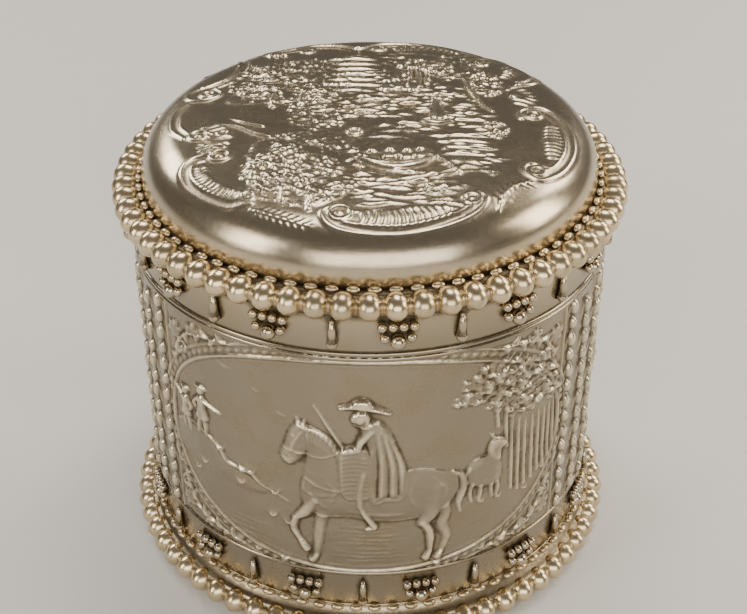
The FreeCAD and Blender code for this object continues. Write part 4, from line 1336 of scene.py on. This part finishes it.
def ball(tree, size, scale, place, segments, rings):
    """A sphere of the tree's size times scale, moved by multiples of the size."""
    sphere = add(tree, "GeometryNodeMeshUVSphere", {"Segments": segments, "Rings": rings, "Radius": size})
    offset = add(tree, "ShaderNodeVectorMath", {0: place, "Scale": size}, {"operation": "SCALE"})
    return add(tree, "GeometryNodeTransform", {"Geometry": sphere, "Scale": scale, "Translation": offset})


def joined(tree, parts):
    """Join several meshes."""
    made = tree.nodes.new("GeometryNodeJoinGeometry")
    for part in parts:
        tree.links.new(part, made.inputs[0])
    return made.outputs[0]


def grown(name, tree, **sizes):
    """Run a tree and give back its result as a plain mesh object."""
    holder = bpy.data.objects.new(name + "_tree", bpy.data.meshes.new(name + "_seed"))
    bpy.context.scene.collection.objects.link(holder)
    modifier = holder.modifiers.new("tree", "NODES")
    modifier.node_group = tree
    for item in tree.interface.items_tree:
        if item.in_out == "INPUT":
            modifier[item.identifier] = sizes[item.name.replace(" ", "_")]
    ready = holder.evaluated_get(bpy.context.evaluated_depsgraph_get())
    mesh = bpy.data.meshes.new_from_object(ready)
    holder.modifiers.clear()
    bpy.data.objects.remove(holder)
    made = bpy.data.objects.new(name, mesh)
    bpy.context.scene.collection.objects.link(made)
    return made


def film_and_shade_on(piece, film_and_shade):
    """Store recess on a piece from film_and_shade(angle from the front, radius, height) in millimetres; it
    carries brown film and painted shade.
    """
    count = len(piece.data.vertices)
    places = np.empty(count * 3)
    piece.data.vertices.foreach_get("co", places)
    x, y, z = places.reshape(-1, 3).T / MM
    value = np.clip(film_and_shade(np.arctan2(x, -y), np.hypot(x, y), z), 0, 1)
    piece.data.attributes.new("recess", "FLOAT", "POINT").data.foreach_set("value", value)
    return piece


# %% The rows of pearls
FOOT_RING, LID_RING = 52.75, 51.0


def pearl(tree, sizes):
    """A pearl with a small spool beside it, half a step round."""
    size = sizes.outputs["Size"]
    bead = ball(tree, size, (1.22, 1.03, 1.10), (0.0, 0.0, 0.0), 24, 14)
    spool = ball(tree, size, (0.66, 0.34, 0.66), (-0.04, 1.02, 0.0), 14, 8)
    return joined(tree, [bead, spool])


def pearl_film_and_shade(ring):
    """Film and painted shade on pearls: thick where they touch and underneath, thin on their fronts."""
    def film_and_shade(angle, radius, height):
        pitch = 2 * math.pi / PEARLS
        off = np.abs((angle + pitch / 2) % pitch - pitch / 2) * ring / PEARL
        inward = np.clip((ring - radius) / PEARL, 0, 1)
        return np.clip((off - 0.78) / 0.3, 0, 1) * 0.8 + np.clip((inward - 0.5) / 0.5, 0, 1) * 0.8
    return film_and_shade


pearl_tree = ring_tree("pearl row", pearl)
pearl_rows = []
for name, ring, z in (("foot_pearl_row", FOOT_RING, FOOT_PEARL_Z), ("lid_pearl_row", LID_RING, LID_PEARL_Z)):
    row = grown(name, pearl_tree, Count=PEARLS, Ring_Radius=ring * MM, Height=z * MM, Turn=-math.pi / 2,
                Size=PEARL * MM, Metal=PEARL_SILVER)
    pearl_rows.append(film_and_shade_on(row, pearl_film_and_shade(ring)))
    print(name, len(row.data.polygons), "faces")

# %% The fine beads
FOOT_BEADS, LID_BEADS = 50.75, 48.25
BEAD_SINK, BEAD_RISE = 0.7, 0.35
BEAD_PITCH = BEAD * 5.2


def fine_bead(tree, sizes):
    """A short reel that lies along the ring."""
    return ball(tree, sizes.outputs["Size"], (1, 1.9, 1), (0.0, 0.0, 0.0), 10, 6)


bead_tree = ring_tree("fine bead row", fine_bead)
bead_rows = []
for name, ring, z in (("foot_bead_row", FOOT_BEADS, FOOT_TOP - BEAD_SINK),
                      ("lid_bead_row", LID_BEADS, FLANGE_TOP + BEAD_RISE)):
    count = int(2 * math.pi * ring / BEAD_PITCH)
    row = grown(name, bead_tree, Count=count, Ring_Radius=ring * MM, Height=z * MM, Turn=0.0,
                Size=BEAD * MM, Metal=PEARL_SILVER)
    bead_rows.append(film_and_shade_on(row, lambda a, r, h: 0.25 + 0 * a))
    print(name, count, "beads,", len(row.data.polygons), "faces")

# %% The bunches of grapes
GRAPE, BIG_GRAPE = 0.98, 1.55
GRAPE_PITCH, GRAPE_STEP, BIG_STEP = 2.0, 2.5, 3.4


def bunch(tree, sizes):
    """Four grapes over two, with a large one between and below; places are in grape radii."""
    size = sizes.outputs["Size"]
    places = [(k * GRAPE_PITCH, 0.0) for k in (-1.5, -0.5, 0.5, 1.5)] + [(k * GRAPE_STEP,
                                                                          -GRAPE_STEP) for k in (-1, 1)]
    parts = [ball(tree, size, (1, 1, 1), (0.0, u / GRAPE, v / GRAPE), 12, 8) for u, v in places]
    big = BIG_GRAPE / GRAPE
    parts.append(ball(tree, size, (big, big, big), (0.0, 0.0, -BIG_STEP / GRAPE), 14, 9))
    return joined(tree, parts)


def two_rows(kind, tree, size, ring, shift=0.0, rise=0.0, film_and_shade=0.8):
    """An ornament's row on the foot and on the lid; shift is in degrees, the rest in millimetres."""
    rows = []
    for place, turn, z in (("foot_", FOOT_TURN, FOOT_ROWS), ("lid_", LID_TURN, LID_ROWS)):
        row = grown(place + kind, tree, Count=BUNCHES, Ring_Radius=ring * MM, Height=(z + rise) * MM,
                    Turn=math.radians(turn + shift) - math.pi / 2, Size=size * MM, Metal=GRAPE_SILVER)
        # painted shade on the grapes' and drops' backs toward the wall, partly film
        rows.append(film_and_shade_on(row, lambda a, r, h: np.clip((WALL + 0.5 * size - r) / (0.6 * size), 0, film_and_shade)))
        print(row.name, len(row.data.polygons), "faces")
    return rows


GRAPE_RING = WALL + GRAPE - 0.05
bunches = two_rows("bunches", ring_tree("bunches of grapes", bunch), GRAPE, GRAPE_RING)

# %% The drops
DROP, DROP_TIP, DROP_LENGTH, DROP_RISE = 1.15, 0.5, 5.6, 1.5
STEM_TOP, STEM_FOOT, STEM_LENGTH = 0.4, 1.08, 5.0


def drop(tree, sizes):
    """A drop that hangs point up: a bulb, a stem that narrows upward and a small round tip."""
    size = sizes.outputs["Size"]
    parts = [ball(tree, size, (1, 1, 1), (0.0, 0.0, -DROP_LENGTH / DROP), 16, 10)]
    stem = add(tree, "GeometryNodeMeshCone", {"Vertices": 16, "Radius Top": STEM_TOP * MM,
                                              "Radius Bottom": STEM_FOOT * MM, "Depth": STEM_LENGTH * MM})
    foot_at = (0.0, 0.0, -(DROP_LENGTH - 0.30) / DROP)
    low = add(tree, "ShaderNodeVectorMath", {0: foot_at, "Scale": size}, {"operation": "SCALE"})
    parts.append(add(tree, "GeometryNodeTransform", {"Geometry": stem, "Translation": low}))
    tip = DROP_TIP / DROP
    parts.append(ball(tree, size, (tip, tip, tip), (0.0, 0.0, -0.6), 10, 7))
    return joined(tree, parts)


DROP_RING = WALL + DROP - 0.05 - 0.35
drops = two_rows("drop_row", ring_tree("drops", drop), DROP, DROP_RING, 180 / BUNCHES, DROP_RISE, 1)

# %% [markdown]
# ## The wires
# Half-round wire hides the seam between box and lid and closes the picture band below. A curve to mesh
# node sweeps an oval section along a circle.

# %% A tree for a hoop of wire


def hoop_tree():
    """A tree that sweeps an oval section along a circle."""
    tree, sizes = new_tree("hoop of wire", {"Ring Radius": "Float", "Height": "Float", "Wire Height": "Float",
                                            "Wire Depth": "Float", "Metal": "Material"})
    hoop = add(tree, "GeometryNodeCurvePrimitiveCircle", {"Resolution": 260,
                                                          "Radius": sizes.outputs["Ring Radius"]})
    section = add(tree, "GeometryNodeCurvePrimitiveCircle", {"Resolution": 14, "Radius": 1.0})
    oval_size = add(tree, "ShaderNodeCombineXYZ", {"X": sizes.outputs["Wire Depth"],
                                                   "Y": sizes.outputs["Wire Height"], "Z": 1.0})
    oval_section = add(tree, "GeometryNodeTransform", {"Geometry": section, "Scale": oval_size})
    swept = add(tree, "GeometryNodeCurveToMesh", {"Curve": hoop, "Profile Curve": oval_section})
    lift = add(tree, "ShaderNodeCombineXYZ", {"Z": sizes.outputs["Height"]})
    placed = add(tree, "GeometryNodeTransform", {"Geometry": swept, "Translation": lift})
    return finished(tree, sizes, placed)


wire_tree = hoop_tree()
wires = []
for name, node in (("lid_rim_hoop", "lid_rim_wire"), ("body_rim_hoop", "body_rim_wire"),
                   ("picture_band_hoop", "body_border_wire")):
    low, high = span(node)
    mid = (low + high) / 2
    hoop = grown(name, wire_tree, Ring_Radius=WALL * MM, Height=mid * MM, Wire_Height=(high - low) / 2 * MM,
                 Wire_Depth=WIRE_PROUD * MM, Metal=POLISHED)
    # painted shade along the wire's top and bottom edges where it meets the wall, partly film
    wires.append(film_and_shade_on(hoop, lambda a, r, h: np.clip(np.abs(h - mid) / WIRE * 1.8 - 0.5, 0, 1)))
    print(name, [round(v, 2) for v in (low, high)], len(hoop.data.polygons), "faces")

# %% [markdown]
# ## Joining the pieces to the box and its lid
# Every piece rides on the body it is soldered to, and stands for the plain solid in the frame that it
# replaces. The collar and the base keep their solids and only get a finish.

# %% Which piece rides on what
ON_BOX = [("body_tube", piece) for piece in wall_pieces] + [
    ("foot_ring", foot), ("foot_pearls", pearl_rows[0]), ("foot_fine_beads", bead_rows[0]),
    ("foot_grapes", bunches[0]), ("foot_drops", drops[0]), ("body_rim_wire", wires[1]),
    ("body_border_wire", wires[2])]
ON_LID = [("lid_dome", dome), ("lid_flange", flange), ("lid_skirt", skirt), ("lid_pearls", pearl_rows[1]),
          ("lid_fine_beads", bead_rows[1]), ("lid_grapes", bunches[1]), ("lid_drops", drops[1]),
          ("lid_rim_wire", wires[0])]
for body, pairs in (("box", ON_BOX), ("lid", ON_LID)):
    for node, piece in pairs:
        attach(piece, body)
        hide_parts(node)
        "chased_silver" if node in ("body_tube", "lid_dome") else "polished_silver"
for node in ("collar", "base_plate"):
    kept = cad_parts[node]
    kept.data.materials.clear()
    kept.data.materials.append(INSIDE)

# %% [markdown]
# ## Floor, light and camera
# Polished metal shows the room it stands in. Soft panels overhead, behind, at the sides and in front
# give it bright areas, and the darker room between them gives the contrast that makes the relief readable.

# %% The floor
floor_mesh = bpy.data.meshes.new("floor")
FLOOR_HALF = 30.0
corners = [(x * FLOOR_HALF, y * FLOOR_HALF, 0) for x, y in ((-1, -1), (1, -1), (1, 1), (-1, 1))]
floor_mesh.from_pydata(corners, [], [(0, 1, 2, 3)])
floor = bpy.data.objects.new("floor", floor_mesh)
bpy.context.scene.collection.objects.link(floor)
paper = Finish("paper")
paper.feed(paper.shader, {"Base Color": (0.66, 0.655, 0.645, 1), "Roughness": 0.6})
floor_mesh.materials.append(paper.material)

# %% The lights


def panel_light(name, place, width, tall, watts, colour):
    """A soft rectangular light that faces the middle of the box."""
    light = bpy.data.lights.new(name, "AREA")
    light.shape, light.size, light.size_y, light.energy, light.color = "RECTANGLE", width, tall, watts, colour
    made = bpy.data.objects.new(name, light)
    made.location = place
    aim = Vector((0, 0, DOME_TOP / 2 * MM)) - Vector(place)
    made.rotation_euler = aim.to_track_quat("-Z", "Y").to_euler()
    bpy.context.scene.collection.objects.link(made)


panel_light("overhead", (0.05, 0.25, 0.85), 0.42, 0.30, 3.6, (1.0, 0.93, 0.82))
panel_light("back_left", (-0.55, 0.60, 0.55), 0.40, 0.30, 3.6, (1.0, 0.95, 0.87))
panel_light("back_right", (0.60, 0.50, 0.55), 0.40, 0.30, 3.6, (1.0, 0.92, 0.79))
panel_light("left", (-0.55, -0.35, 0.32), 0.22, 0.36, 1.9, (1.0, 0.95, 0.87))
panel_light("right", (0.66, 0.00, 0.33), 0.24, 0.36, 2.4, (1.0, 0.91, 0.76))
panel_light("front", (0.12, -1.0, 0.42), 1.3, 0.55, 8.5, (1.0, 0.96, 0.88))

world = bpy.data.worlds.new("room")
world.use_nodes = True
world.node_tree.nodes["Background"].inputs["Color"].default_value = (0.60, 0.57, 0.52, 1)
world.node_tree.nodes["Background"].inputs["Strength"].default_value = 0.30
bpy.context.scene.world = world

# %% The camera, close in front of the box and looking down on it
camera = bpy.data.objects.new("camera", bpy.data.cameras.new("camera"))
camera.location = (0.00077, -0.2607, 0.2246)
camera.rotation_euler = (math.radians(56.16), 0, 0)
camera.data.lens, camera.data.sensor_width = 67.3, 36.0
camera.data.clip_start = 0.01
bpy.context.scene.collection.objects.link(camera)
bpy.context.scene.camera = camera
